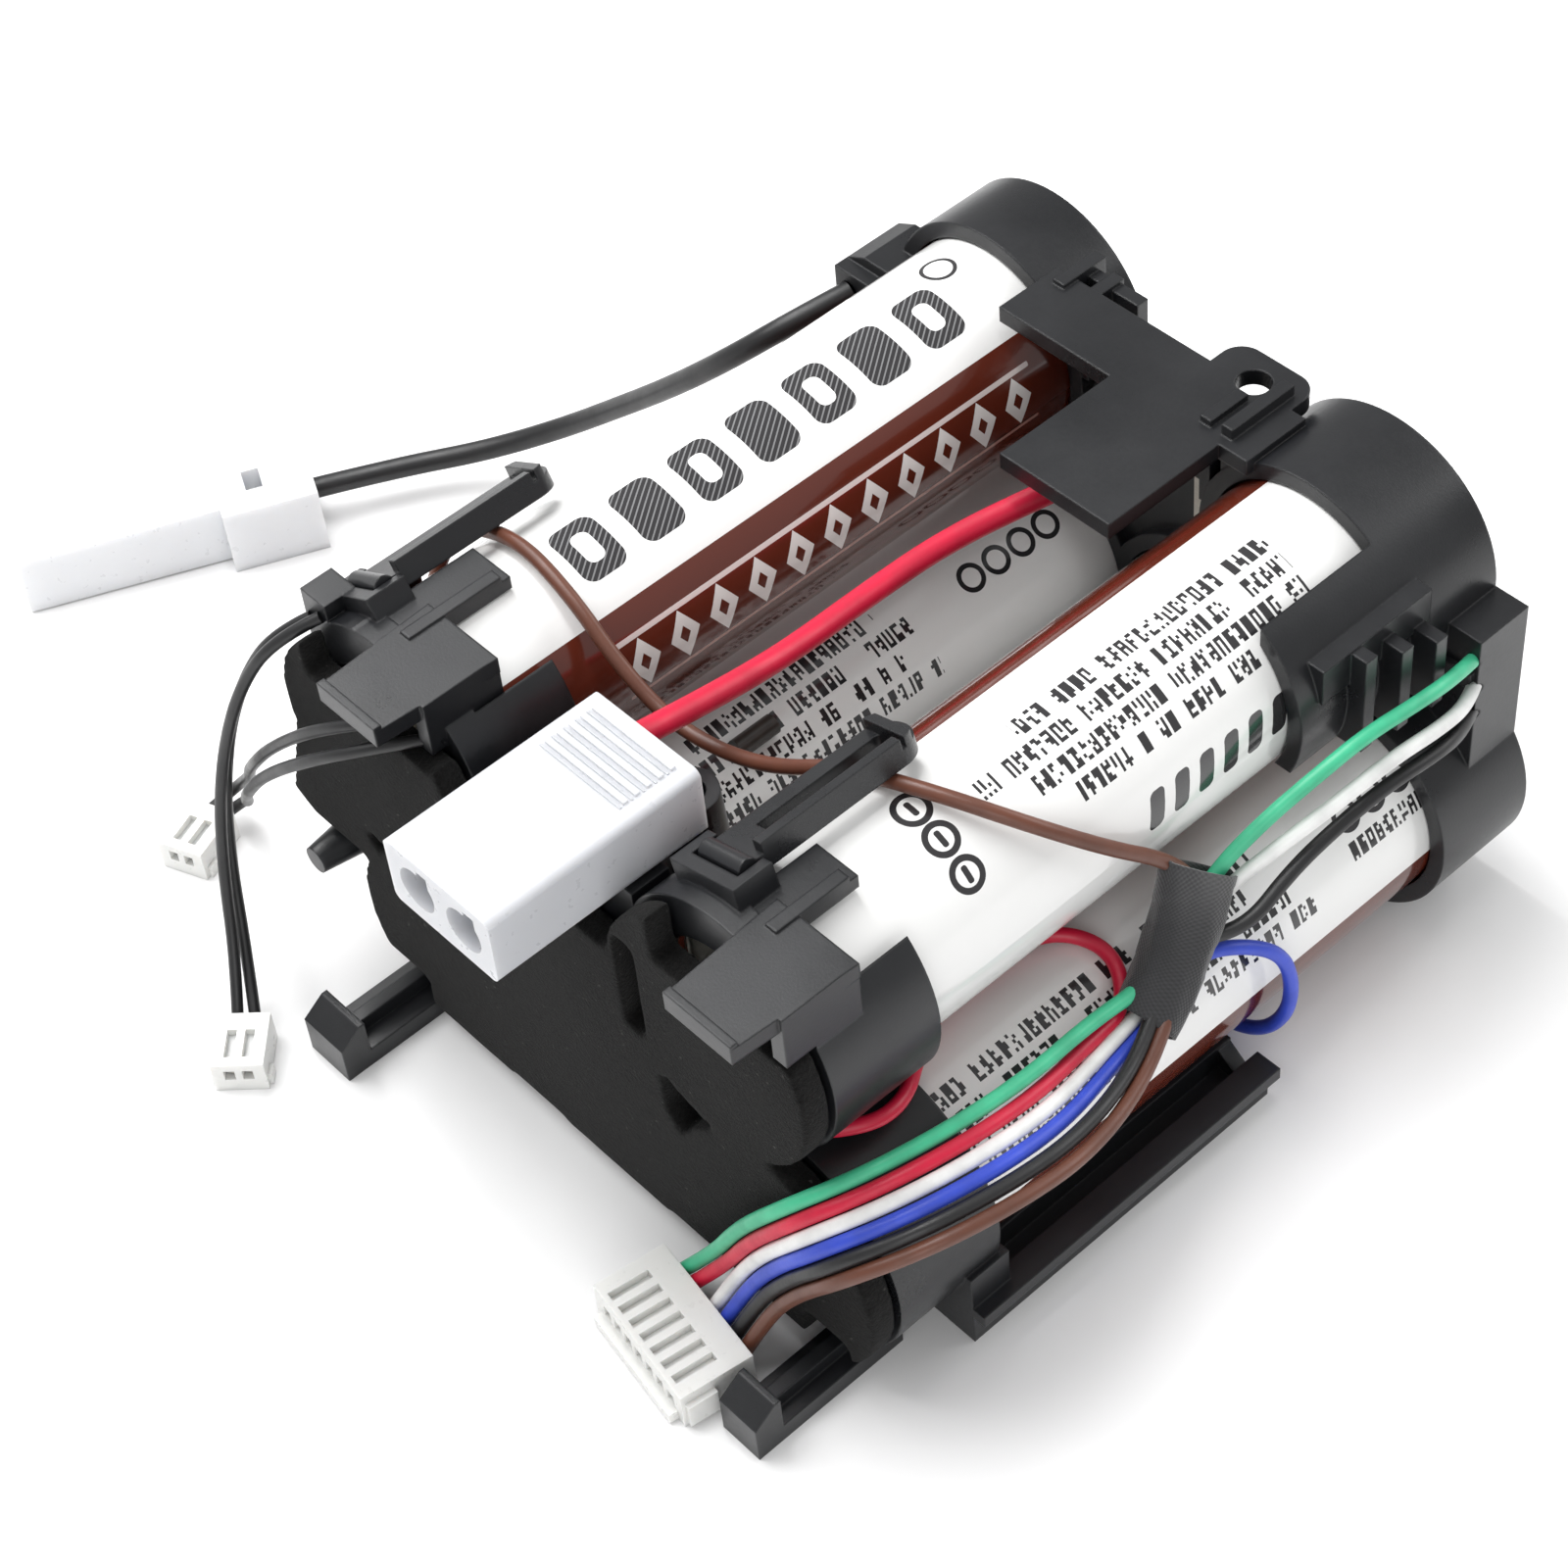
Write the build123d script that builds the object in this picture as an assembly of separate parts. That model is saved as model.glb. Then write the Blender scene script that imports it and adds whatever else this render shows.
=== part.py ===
from build123d import *
import math
import os

# Five-cell lithium-ion pack of a cordless stick vacuum cleaner. Millimetres.
# +Y runs along the cells from the near end (foam pad) to the far end, +X to the right, +Z up.
# The origin is at the bottom centre of the pack, measured without its loose leads.

os.makedirs("parts", exist_ok=True)

# ---- cells
CAN_R = 9.0
CELL_LENGTH = 65.0
CAN_WALL_FIT = 0.02
SLEEVE_WALL = 0.17
SLEEVE_FOLD = 1.6
BUTTON_R = 3.3
BUTTON_HEIGHT = 0.9
RING_HOLE_R = 3.6
RING_THICK = 0.25
GROOVE_DEPTH = 0.5
GROOVE_WIDTH = 1.2
GROOVE_INSET = 3.6
SLEEVE_R = CAN_R + CAN_WALL_FIT + SLEEVE_WALL

# ---- layout: two upper cells, three lower cells
UPPER_SPACING = 38.2
LOWER_SPACING = 19.1
ROW_DROP = 20.0
ROW_SHIFT = 5.0
UPPER_MID_X = -1.25
NEAR_END = -28.0
FAR_END = NEAR_END + CELL_LENGTH
FOOT = 0.2

# ---- holders
CELL_FIT = 0.2
CUP_WALL = 1.4
CUP_BORE_R = SLEEVE_R + CELL_FIT
CUP_R = CUP_BORE_R + CUP_WALL
NEAR_WALL = 1.4
NEAR_CUP_LENGTH = 10.0
WELD_WINDOW_R = 7.2
END_PLAY = 0.3
FAR_WALL = 1.4
FAR_MOUTH = {"1": 33.5, "2": 29.5, "3": 34.0, "4": 34.0, "5": 29.5}
FAR_DEPTH = {"1": 2.6, "2": 0.8, "3": 0.8, "4": 0.8, "5": 0.8}
FAR_PAIRS = (("3", "4"), ("5", "2"))
NEAR_PAIRS = (("1", "3"), ("4", "5"))
TOP_PLATE = 1.5
PLATE_GAP = 0.12
REACH_LEFT = -35.0
REACH_RIGHT = 35.0
HOOK_TIP = -41.3

# ---- strips, pads
STRIP_THICK = 0.2
STRIP_WIDTH = 7.0
FOAM_THICK = 2.5
FAR_STRIP_GAP = 0.22
LINK_X = (2.6, 7.6)
LINK_END = 34.0

# ---- snap loops
LOOP_WIDTH = 4.6
LOOP_LENGTH = 17.0
LOOP_THICK = 1.3
LOOP_SLOT = 1.7
LOOP_BARREL_R = 0.9
LOOP_RUNNING = 0.3
LOOP_LIFT = 1.6
LOOP_TILT = {"1": -29.0, "2": -17.0}
LOOP_ROOT = {"1": -25.6, "2": -25.6}

# ---- leads
POWER_LEAD_R = 1.0
SENSE_WIRE_R = 0.6
PROBE_WIRE_R = 0.5

LOWER_Z = CUP_R + FOOT
LINK_Z = LOWER_Z + SLEEVE_R + 0.3
UPPER_Z = LOWER_Z + ROW_DROP
LOWER_MID_X = UPPER_MID_X + ROW_SHIFT
AXES = {
    "1": (UPPER_MID_X - UPPER_SPACING / 2, UPPER_Z),
    "2": (UPPER_MID_X + UPPER_SPACING / 2, UPPER_Z),
    "3": (LOWER_MID_X - LOWER_SPACING, LOWER_Z),
    "4": (LOWER_MID_X, LOWER_Z),
    "5": (LOWER_MID_X + LOWER_SPACING, LOWER_Z),
}
BUTTON_FAR = {"1": False, "2": False, "3": True, "4": False, "5": True}
NEAR_WALL_IN = NEAR_END - END_PLAY
NEAR_FACE = NEAR_WALL_IN - NEAR_WALL
NEAR_MOUTH = NEAR_FACE + NEAR_CUP_LENGTH


def box(x0, x1, y0, y1, z0, z1):
    """A box between two corners."""
    size = Box(x1 - x0, y1 - y0, z1 - z0)
    return Pos((x0 + x1) / 2, (y0 + y1) / 2, (z0 + z1) / 2) * size


def rod(radius, y0, y1, x, z):
    """A round bar along Y."""
    return Pos(x, (y0 + y1) / 2, z) * Rot(90, 0, 0) * Cylinder(radius, y1 - y0)


def cross_bar(radius, x0, x1, y, z):
    """A round bar along X."""
    return Pos((x0 + x1) / 2, y, z) * Rot(0, 90, 0) * Cylinder(radius, x1 - x0)


def post(radius, z0, z1, x, y):
    """A round bar along Z."""
    return Pos(x, y, (z0 + z1) / 2) * Cylinder(radius, z1 - z0)


def slab_y(points, y0, y1):
    """A flat plate standing across the cells, from its (x, z) outline."""
    face = make_face(Polyline(*[(x, y0, z) for x, z in points], close=True))
    return extrude(face, amount=y1 - y0, dir=(0, 1, 0))


def joined(shapes):
    """The union of several shapes."""
    first, *rest = shapes
    return first + rest


def save(name, shape):
    """Writes one node; loose pieces of a node stay separate solids."""
    solids = shape.solids()
    out = solids[0] if len(solids) == 1 else Compound(children=list(solids))
    out.label = name
    export_step(out, "parts/" + name + ".step")


# ---------------------------------------------------------------- cells
def cell_can(key):
    """Steel can with its rolled groove and its raised button."""
    x, z = AXES[key]
    can = rod(CAN_R, NEAR_END, FAR_END - BUTTON_HEIGHT, x, z)
    sign = 1 if BUTTON_FAR[key] else -1
    if sign < 0:
        can = rod(CAN_R, NEAR_END + BUTTON_HEIGHT, FAR_END, x, z)
    tip = FAR_END if sign > 0 else NEAR_END
    base = tip - sign * (BUTTON_HEIGHT + 1)
    can += rod(BUTTON_R, min(tip, base), max(tip, base), x, z)
    middle = tip - sign * GROOVE_INSET
    low, high = middle - GROOVE_WIDTH / 2, middle + GROOVE_WIDTH / 2
    can -= rod(CAN_R + 1, low, high, x, z) - rod(CAN_R - GROOVE_DEPTH, low, high, x, z)
    return can


def cell_sleeve(key):
    """Heat-shrink tube, folded a little way over both ends."""
    x, z = AXES[key]
    inner = CAN_R + CAN_WALL_FIT
    end_low = NEAR_END if BUTTON_FAR[key] else NEAR_END + BUTTON_HEIGHT
    end_high = FAR_END if not BUTTON_FAR[key] else FAR_END - BUTTON_HEIGHT
    gap = RING_THICK + CAN_WALL_FIT
    low_room = CAN_WALL_FIT if BUTTON_FAR[key] else gap
    high_room = gap if BUTTON_FAR[key] else CAN_WALL_FIT
    low = end_low - low_room - SLEEVE_WALL
    high = end_high + high_room + SLEEVE_WALL
    tube = rod(SLEEVE_R, low, high, x, z)
    tube -= rod(inner, low + SLEEVE_WALL, high - SLEEVE_WALL, x, z)
    return tube - rod(CAN_R - SLEEVE_FOLD, low - 1, high + 1, x, z)


def ring(key):
    """Insulating ring around one button, under the folded sleeve."""
    x, z = AXES[key]
    face = FAR_END - BUTTON_HEIGHT if BUTTON_FAR[key] else NEAR_END + BUTTON_HEIGHT - RING_THICK
    disc = rod(CAN_R - 0.1, face, face + RING_THICK, x, z)
    return disc - rod(RING_HOLE_R, face - 1, face + 2, x, z)


# ---------------------------------------------------------------- near holder
LEFT_X, TOP_Z = AXES["1"]
RIGHT_X = AXES["2"][0]
LOW_LEFT_X = AXES["3"][0]
LOW_MID_X = AXES["4"][0]
LOW_RIGHT_X = AXES["5"][0]
DECK_Z = TOP_Z + SLEEVE_R + PLATE_GAP

PLATE_NEAR = {"1": -35.2, "2": -36.4}
PLATE_FAR = {"1": -24.2, "2": -25.4}
PLATE_X0 = {"1": -0.4, "2": 1.3}
PLATE_WIDTH = 8.2
PLATE_TAPER = 0.7
TONGUE = {"1": (-2.9, 1.6, -27.6, -18.0), "2": (-0.6, 3.6, -27.6, -20.0)}
TONGUE_THICK = 1.2

BOSS_X = 2.3
BOSS_Y = -19.6
BOSS_TOP = 35.0
BOSS_R = 2.4
BOSS_HOLE_R = 1.35
BOSS_DEPTH = 9.0
SHELF_TOP = 36.6

RAIL_NEAR = -23.0
RAIL_FAR = 9.3
RAIL_FLOOR = 1.2
RAIL_X0 = 28.6
RAIL_WALL = 1.2
RAIL_FIN = 4.4
HOOK_LEFT = (LOW_LEFT_X - 9.5, LOW_LEFT_X - 4.5)
HOOK_RIGHT = (LOW_RIGHT_X + 3.0, LOW_RIGHT_X + 7.0)
HOOK_BEAM = 1.8
HOOK_NOSE = 3.4


def cup(key, y0, y1):
    x, z = AXES[key]
    return rod(CUP_R, y0, y1, x, z)


def bore(key, y0, y1):
    x, z = AXES[key]
    return rod(CUP_BORE_R, y0, y1, x, z)


def flexible_hook(x0, x1):
    """Snap arm low on the near face, with a nose that points up."""
    beam = box(x0, x1, HOOK_TIP, NEAR_FACE + 3, 0, HOOK_BEAM)
    nose = box(x0, x1, HOOK_TIP, HOOK_TIP + 2.6, 0, HOOK_BEAM + HOOK_NOSE)
    lead_in = Pos(0, HOOK_TIP, HOOK_BEAM + HOOK_NOSE) * Rot(35, 0, 0) * Box(200, 6, 2.4)
    rib = box((x0 + x1) / 2 - 0.6, (x0 + x1) / 2 + 0.6, HOOK_TIP + 2, NEAR_FACE + 1, 0, 3.2)
    return beam + (nose - lead_in) + rib


def saddle(key):
    """Seat for the barrel of one snap loop, built above the cell and turned round it."""
    root = LOOP_ROOT[key]
    level = loop_level()
    room = LOOP_BARREL_R + LOOP_RUNNING
    half = LOOP_WIDTH / 2 + LOOP_RUNNING + 1.0
    block = box(-half, half, root - room - 1.2, root + 1.2, CUP_BORE_R - 0.6, level + 0.4)
    return turned(key, block)


def loop_room(key):
    """Space that one snap loop turns in, cut out of the holder round it."""
    root = LOOP_ROOT[key]
    level = loop_level()
    room = LOOP_BARREL_R + LOOP_RUNNING
    half = LOOP_WIDTH / 2 + LOOP_RUNNING
    space = cross_bar(room, -half, half, root, level)
    space += box(-half, half, root, root + LOOP_LENGTH + 1, level - room, level + 5)
    return turned(key, space)


def loop_level():
    """Height of a loop's barrel above the axis of its cell."""
    return SLEEVE_R + LOOP_LIFT + LOOP_BARREL_R


def turned(key, shape):
    """Turns a shape made above the origin round the axis of its cell."""
    x, z = AXES[key]
    return Pos(x, 0, z) * Rot(0, LOOP_TILT[key], 0) * shape


def clip_plate(key):
    """Flat plate over the near end of an upper cell, reaching out past the foam."""
    x, _ = AXES[key]
    x0 = x + PLATE_X0[key]
    x1 = x0 + PLATE_WIDTH
    near, far = PLATE_NEAR[key], PLATE_FAR[key]
    outline = [(x0, far), (x1, far), (x1 - PLATE_TAPER, near), (x0 + PLATE_TAPER, near)]
    face = make_face(Polyline(*[(px, py, DECK_Z) for px, py in outline], close=True))
    plate = extrude(face, amount=TOP_PLATE, dir=(0, 0, 1))
    lip = box(x0 + PLATE_TAPER, x1 - PLATE_TAPER, near, near + 0.7, DECK_Z, DECK_Z + TOP_PLATE + 0.35)
    web = box(x1 - 1.5, x1 - 0.1, NEAR_FACE, far, TOP_Z + 4, DECK_Z + TOP_PLATE)
    side = box(x1 - 1.5, x1 - 0.1, near + 4, far, DECK_Z - 3.6, DECK_Z + TOP_PLATE)
    web -= bore(key, NEAR_WALL_IN, NEAR_MOUTH + 1)
    lug = box(x0 + 1.2, x0 + 3.2, NEAR_FACE - 1.8, NEAR_WALL_IN, TOP_Z + 8.2, DECK_Z + TOP_PLATE)
    return plate + lip + web + (side - bore(key, NEAR_WALL_IN, NEAR_MOUTH + 9)) + lug


def tongue(key):
    """Low tongue between the plate and the loop, resting along the cell."""
    x, _ = AXES[key]
    dx0, dx1, y0, y1 = TONGUE[key]
    pad = box(x + dx0, x + dx1, y0, y1, DECK_Z, DECK_Z + TONGUE_THICK)
    rib = box(x + dx1 - 1.1, x + dx1, y0, y1 - 0.8, DECK_Z, DECK_Z + TONGUE_THICK + 0.5)
    heel = box(x + dx0, x + dx1, NEAR_FACE, NEAR_WALL_IN + 1.2, TOP_Z + 8.4, DECK_Z + TONGUE_THICK)
    heel -= bore(key, NEAR_WALL_IN, NEAR_MOUTH)
    return pad + rib + heel


def boss():
    """Screw boss that stands between the upper cells, tapering up from the shelf."""
    root_z = LOWER_Z + CUP_R - 0.5
    height = BOSS_TOP - root_z
    cone = Pos(BOSS_X, BOSS_Y, root_z + height / 2) * Cone(BOSS_R + 0.9, BOSS_R, height)
    wing = box(BOSS_X - 0.7, BOSS_X + 0.7, NEAR_FACE, BOSS_Y, root_z, BOSS_TOP - 3.5)
    return cone + wing


def rail():
    """Channel under the lower right cell that slides onto the appliance body."""
    x0 = RAIL_X0
    parts = [
        box(x0, x0 + 5.2, RAIL_NEAR, RAIL_FAR, 0, RAIL_FLOOR),
        box(x0, x0 + RAIL_WALL, RAIL_NEAR, RAIL_FAR, 0, 3.6),
        box(x0 + 4.0, x0 + 5.2, RAIL_NEAR, RAIL_FAR, 0, RAIL_FIN),
        box(x0 + 4.0, REACH_RIGHT, RAIL_NEAR, RAIL_FAR, RAIL_FIN - 1.2, RAIL_FIN),
        box(x0 + 1.0, x0 + 5.2, RAIL_NEAR, NEAR_MOUTH + 0.6, 0, 8.0),
    ]
    gusset = slab_y([(x0 + 1, 0.5), (x0 + 4.6, 0.5), (x0 + 1, 3.4)], RAIL_FAR - 1.4, RAIL_FAR)
    return joined(parts) + gusset


def near_outline_fill():
    """Web that ties the five cups of the near holder together."""
    low = box(LOW_LEFT_X, LOW_RIGHT_X, NEAR_FACE, NEAR_MOUTH, 0, LOWER_Z)
    centre = box(LEFT_X + 6, RIGHT_X - 6, NEAR_FACE, NEAR_FACE + 4.5, LOWER_Z, TOP_Z + 1.5)
    shelf = box(-8.5, 8.0, NEAR_FACE, NEAR_FACE + 3.5, TOP_Z - 2, SHELF_TOP)
    left = slab_y([(LEFT_X - 9, TOP_Z), (REACH_LEFT + 3.5, TOP_Z - 3), (REACH_LEFT, TOP_Z - 13),
                   (REACH_LEFT + 3.4, TOP_Z - 18), (LOW_LEFT_X - 6, TOP_Z - 18)],
                  NEAR_FACE, NEAR_FACE + 4.0)
    return [low, centre, shelf, left]


def near_holder():
    body = joined([cup(key, NEAR_FACE, NEAR_MOUTH) for key in AXES] + near_outline_fill())
    body += rail()
    body += flexible_hook(*HOOK_LEFT)
    body += flexible_hook(*HOOK_RIGHT)
    body += boss()
    body -= [bore(key, NEAR_WALL_IN, NEAR_MOUTH + 40) for key in AXES]
    body -= [rod(WELD_WINDOW_R, NEAR_FACE - 1, NEAR_MOUTH, *AXES[key]) for key in AXES]
    # the tops of the two upper cups are open, so the cells show between plate and loop
    for key in ("1", "2"):
        x, z = AXES[key]
        body -= box(x - 8.4, x + 7.9, NEAR_WALL_IN + 1.2, NEAR_MOUTH + 1, z + 3.4, z + 20)
        body += [clip_plate(key), tongue(key), saddle(key)]
    body += probe_guide()
    for key in ("1", "2"):
        body -= [bore(key, NEAR_WALL_IN, NEAR_MOUTH + 40), loop_room(key)]
    body -= post(BOSS_HOLE_R, BOSS_TOP - BOSS_DEPTH, BOSS_TOP + 1, BOSS_X, BOSS_Y)
    # slots for the probe wires beside the shelf
    body -= box(8.6, 10.4, NEAR_FACE - 1, NEAR_FACE + 5, TOP_Z - 6, TOP_Z + 4)
    peg = Pos(REACH_LEFT + 5.6, NEAR_FACE - 2.2, LOWER_Z + 3) * Rot(90, 0, 0) * Cone(1.9, 1.2, 5.0)
    arm = box(REACH_LEFT + 3.6, LOW_LEFT_X - 8, NEAR_FACE, NEAR_FACE + 3, LOWER_Z + 0.8, LOWER_Z + 5)
    arm -= bore("3", NEAR_WALL_IN, NEAR_MOUTH + 40)
    body -= box(*LINK_X, NEAR_FACE - 1, NEAR_MOUTH, LINK_Z - 0.1, LINK_Z + STRIP_THICK + 0.1)
    return body + peg + arm


def probe_guide():
    """Small block at the top left of the near holder that the first probe pair comes out of."""
    block = box(LEFT_X - 9.2, LEFT_X - 6.2, NEAR_FACE, NEAR_FACE + 3.0, TOP_Z + 5.5, TOP_Z + 10.4)
    return block


def snap_loop(key):
    """Springy loop that snaps over a rib of the appliance: barrel, two rails and a rounded nose."""
    root = LOOP_ROOT[key]
    level = loop_level()
    half = LOOP_WIDTH / 2
    tip = root + LOOP_LENGTH
    flat = level - LOOP_BARREL_R
    plate = box(-half, half, root, tip - half, flat, flat + LOOP_THICK)
    plate += post(half, flat, flat + LOOP_THICK, 0, tip - half)
    plate -= box(-LOOP_SLOT / 2, LOOP_SLOT / 2, root + 3.4, tip - half, flat - 1, flat + 3)
    plate -= post(LOOP_SLOT / 2, flat - 1, flat + 3, 0, tip - half)
    rail_rib = box(half - 0.9, half, root + 1.5, tip - half, flat, flat + LOOP_THICK + 0.9)
    catch = box(-half, half, tip - 1.9, tip - 1.0, flat, flat + LOOP_THICK + 0.9)
    catch &= post(half, flat, flat + 4, 0, tip - half)
    barrel = cross_bar(LOOP_BARREL_R, -half, half, root, level)
    return turned(key, plate + rail_rib + catch + barrel)


# ---------------------------------------------------------------- far holder
PLATE3_X0 = -1.7
PLATE3_X1 = 9.8
PLATE3_NEAR = 16.6
TAB_X0 = 2.8
TAB_X1 = 11.2
TAB_FAR = 38.6
EYELET_X = 7.0
EYELET_Y = 35.6
EYELET_R = 1.45
APRON_NEAR = 17.5


def far_end(key):
    return FAR_END + END_PLAY + FAR_DEPTH[key] + FAR_WALL


def side_apron():
    """Long wall of the right far cup that guards the outer flank of the cell."""
    x, z = AXES["2"]
    wall = rod(CUP_R, APRON_NEAR, FAR_MOUTH["2"] + 1, x, z)
    wall &= box(x + 6.4, x + 20, APRON_NEAR, FAR_MOUTH["2"] + 1, z - 4.5, z + 20)
    return wall


def comb():
    """Short ribs down the flank of the right far cup, which space the sense wires."""
    x, z = AXES["2"]
    ribs = [box(x + 8.6, x + 12.4, 22.5, 23.7, z - 4.2, z + 5.4),
            box(x + 8.6, x + 12.9, 26.0, 27.2, z - 4.2, z + 4.2),
            box(x + 8.6, x + 13.2, 29.6, 30.8, z - 4.2, z + 2.8)]
    spine = box(x + 8.8, x + 10.9, 19.5, 31.5, z + 2.2, z + 5.6)
    return ribs + [spine]


def collar_ribs():
    """Stiffening ribs where the bridge meets the two upper cups."""
    lx, rx, z = LEFT_X, RIGHT_X, TOP_Z
    return [box(lx + 7.6, lx + 8.8, 33.6, 38.4, z + 4, z + 10.6),
            box(lx + 10.2, lx + 11.4, 33.6, 37.8, z + 2, z + 10.2),
            box(lx + 7.6, lx + 14.2, 36.4, 37.6, z + 2, z + 9.8),
            box(rx - 10.9, rx - 9.8, 29.6, 33.8, z + 2, z + 10.8),
            box(rx - 8.7, rx - 7.6, 29.6, 36.6, z + 4, z + 11.2)]


def far_fill():
    """Webs between the far cups, the bridge plate, its skirt and the outer fin."""
    top0, top1 = DECK_Z - 0.6, DECK_Z - 0.6 + TOP_PLATE
    web_y = (34.0, far_end("3"))
    low = box(LOW_LEFT_X, LOW_RIGHT_X, web_y[0], web_y[1], 0, LOWER_Z)
    centre = box(LEFT_X + 6, RIGHT_X - 6, web_y[0] + 1, web_y[1], LOWER_Z, TOP_Z + 2)
    bridge = box(LEFT_X + 6.5, RIGHT_X - 5.2, 28.6, 35.2, top0, top1)
    plate = box(PLATE3_X0, PLATE3_X1, PLATE3_NEAR, 29.0, top0, top1)
    skirt = box(PLATE3_X0 + 1, PLATE3_X1 - 1, 32.8, 33.9, TOP_Z, top1)
    tab = box(TAB_X0, TAB_X1, 33.0, TAB_FAR - 2, top0, top1)
    tab += box(TAB_X0 + 2, TAB_X1 - 2, 33.0, TAB_FAR, top0, top1)
    tab += post(2.0, top0, top1, TAB_X0 + 2, TAB_FAR - 2)
    tab += post(2.0, top0, top1, TAB_X1 - 2, TAB_FAR - 2)
    fin = box(RIGHT_X + 9.6, RIGHT_X + 13.6, 33.5, 36.2, TOP_Z - 5.0, TOP_Z - 3.4)
    fin_leg = box(RIGHT_X + 9.0, RIGHT_X + 13.6, 35.2, 36.6, TOP_Z - 14, TOP_Z - 3.4)
    side = box(RIGHT_X + 4, LOW_RIGHT_X + 9, web_y[0], web_y[1], LOWER_Z, TOP_Z)
    left = box(LEFT_X - 9, LOW_LEFT_X, web_y[0] + 1, web_y[1], LOWER_Z, TOP_Z)
    return [low, centre, bridge, plate, skirt, tab, fin, fin_leg, side, left]


def lead_guide():
    """Hollow lug on the left of the far cup, where the negative lead comes out."""
    x, z = LEFT_X - CUP_R, TOP_Z + 0.4
    lug = box(x - 3.1, x + 2.5, 29.0, 36.5, z - 2.2, z + 2.4)
    top = slab_y([(x - 3.1, z + 2.4), (x + 2.5, z + 2.4), (x + 2.5, z + 3.4), (x - 1.0, z + 3.4)],
                 30.5, 36.5)
    return lug + top


def strip_slot(key_a, key_b):
    """Passage between two far cups for the strip that joins their cells."""
    slot = strip(key_a, key_b, FAR_END + FAR_STRIP_GAP)
    wide = [Pos(0, shift, 0) * slot for shift in (-0.15, 0.15)]
    return joined([slot] + wide)


def far_holder():
    body = joined([cup(key, FAR_MOUTH[key], far_end(key)) for key in AXES] + far_fill())
    body += [side_apron(), *comb(), *collar_ribs()]
    body += lead_guide()
    body -= [bore(key, PLATE3_NEAR - 30, far_end(key) - FAR_WALL) for key in AXES]
    body -= post(EYELET_R, DECK_Z - 0.9, DECK_Z + 1.2, EYELET_X, EYELET_Y)
    for pair in FAR_PAIRS:
        body -= strip_slot(*pair)
    body -= rod(POWER_LEAD_R + 0.02, 28.0, 33.0, *BLACK_EXIT[::2])
    body -= rod(POWER_LEAD_R + 0.02, 33.0, 36.0, *RED_EXIT[::2])
    body -= box(LINK_X[0] - 0.1, LINK_X[1] + 0.1, 33.0, LINK_END, LINK_Z, RED_EXIT[2] + 1.7)
    return body


# ---------------------------------------------------------------- pads and strips
def near_foam():
    """Soft pad over the near face, with cuts that clear the snap hooks and the shelf wires."""
    y1 = NEAR_FACE - STRIP_THICK
    y0 = y1 - FOAM_THICK
    discs = [rod(CUP_R - 0.2, y0, y1, *AXES[key]) for key in AXES]
    fill = [box(LOW_LEFT_X, LOW_RIGHT_X, y0, y1, 2.6, LOWER_Z),
            box(LEFT_X + 6, RIGHT_X - 6, y0, y1, LOWER_Z, TOP_Z + 1.5),
            slab_y([(LEFT_X - 9, TOP_Z), (REACH_LEFT + 4.1, TOP_Z - 3.6),
                    (REACH_LEFT + 1.2, TOP_Z - 13), (REACH_LEFT + 3.8, TOP_Z - 14.5),
                    (LOW_LEFT_X - 6, TOP_Z - 14.5)], y0, y1)]
    pad = joined(discs + fill)
    pad -= box(-60, 60, y0 - 1, y1 + 1, -5, 2.4)
    for x0, x1 in (HOOK_LEFT, HOOK_RIGHT):
        pad -= box(x0 - 0.4, x1 + 0.4, y0 - 1, y1 + 1, -1, 5.6)
    for key in ("1", "2"):
        x, z = AXES[key]
        x0 = x + PLATE_X0[key]
        pad -= box(x0 - 6, x0 + PLATE_WIDTH + 1, y0 - 1, y1 + 1, z + 5.2, z + 20)
    pad -= box(8.4, 10.6, y0 - 1, y1 + 1, TOP_Z - 6, TOP_Z + 4)
    return pad


def far_pads():
    """Foam discs that take up the play behind the far ends of the cells."""
    discs = []
    for key in AXES:
        start = FAR_END + FAR_STRIP_GAP + STRIP_THICK
        stop = far_end(key) - FAR_WALL - 0.02
        discs.append(rod(CUP_BORE_R - 0.4, start, stop, *AXES[key]))
    return Compound(children=discs)


def strip(key_a, key_b, y):
    """Nickel strip between two neighbouring cells, as a straight bar with round ends."""
    (xa, za), (xb, zb) = AXES[key_a], AXES[key_b]
    length = math.hypot(xb - xa, zb - za)
    angle = math.degrees(math.atan2(zb - za, xb - xa))
    bar = extrude(SlotCenterToCenter(length, STRIP_WIDTH), amount=STRIP_THICK)
    flat = Rot(90, 0, 0) * Rot(0, 0, angle) * bar
    return Pos((xa + xb) / 2, y + STRIP_THICK, (za + zb) / 2) * flat


def near_contact(key):
    """Dimple that reaches from a strip on the near face through its window to the cell."""
    x, z = AXES[key]
    tip = NEAR_END if not BUTTON_FAR[key] else NEAR_END - CAN_WALL_FIT
    return rod(2.6, NEAR_FACE - STRIP_THICK / 2, tip, x, z)


def near_strip(key_a, key_b):
    bar = strip(key_a, key_b, NEAR_FACE - STRIP_THICK)
    return bar + [near_contact(key_a), near_contact(key_b)]


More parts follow.
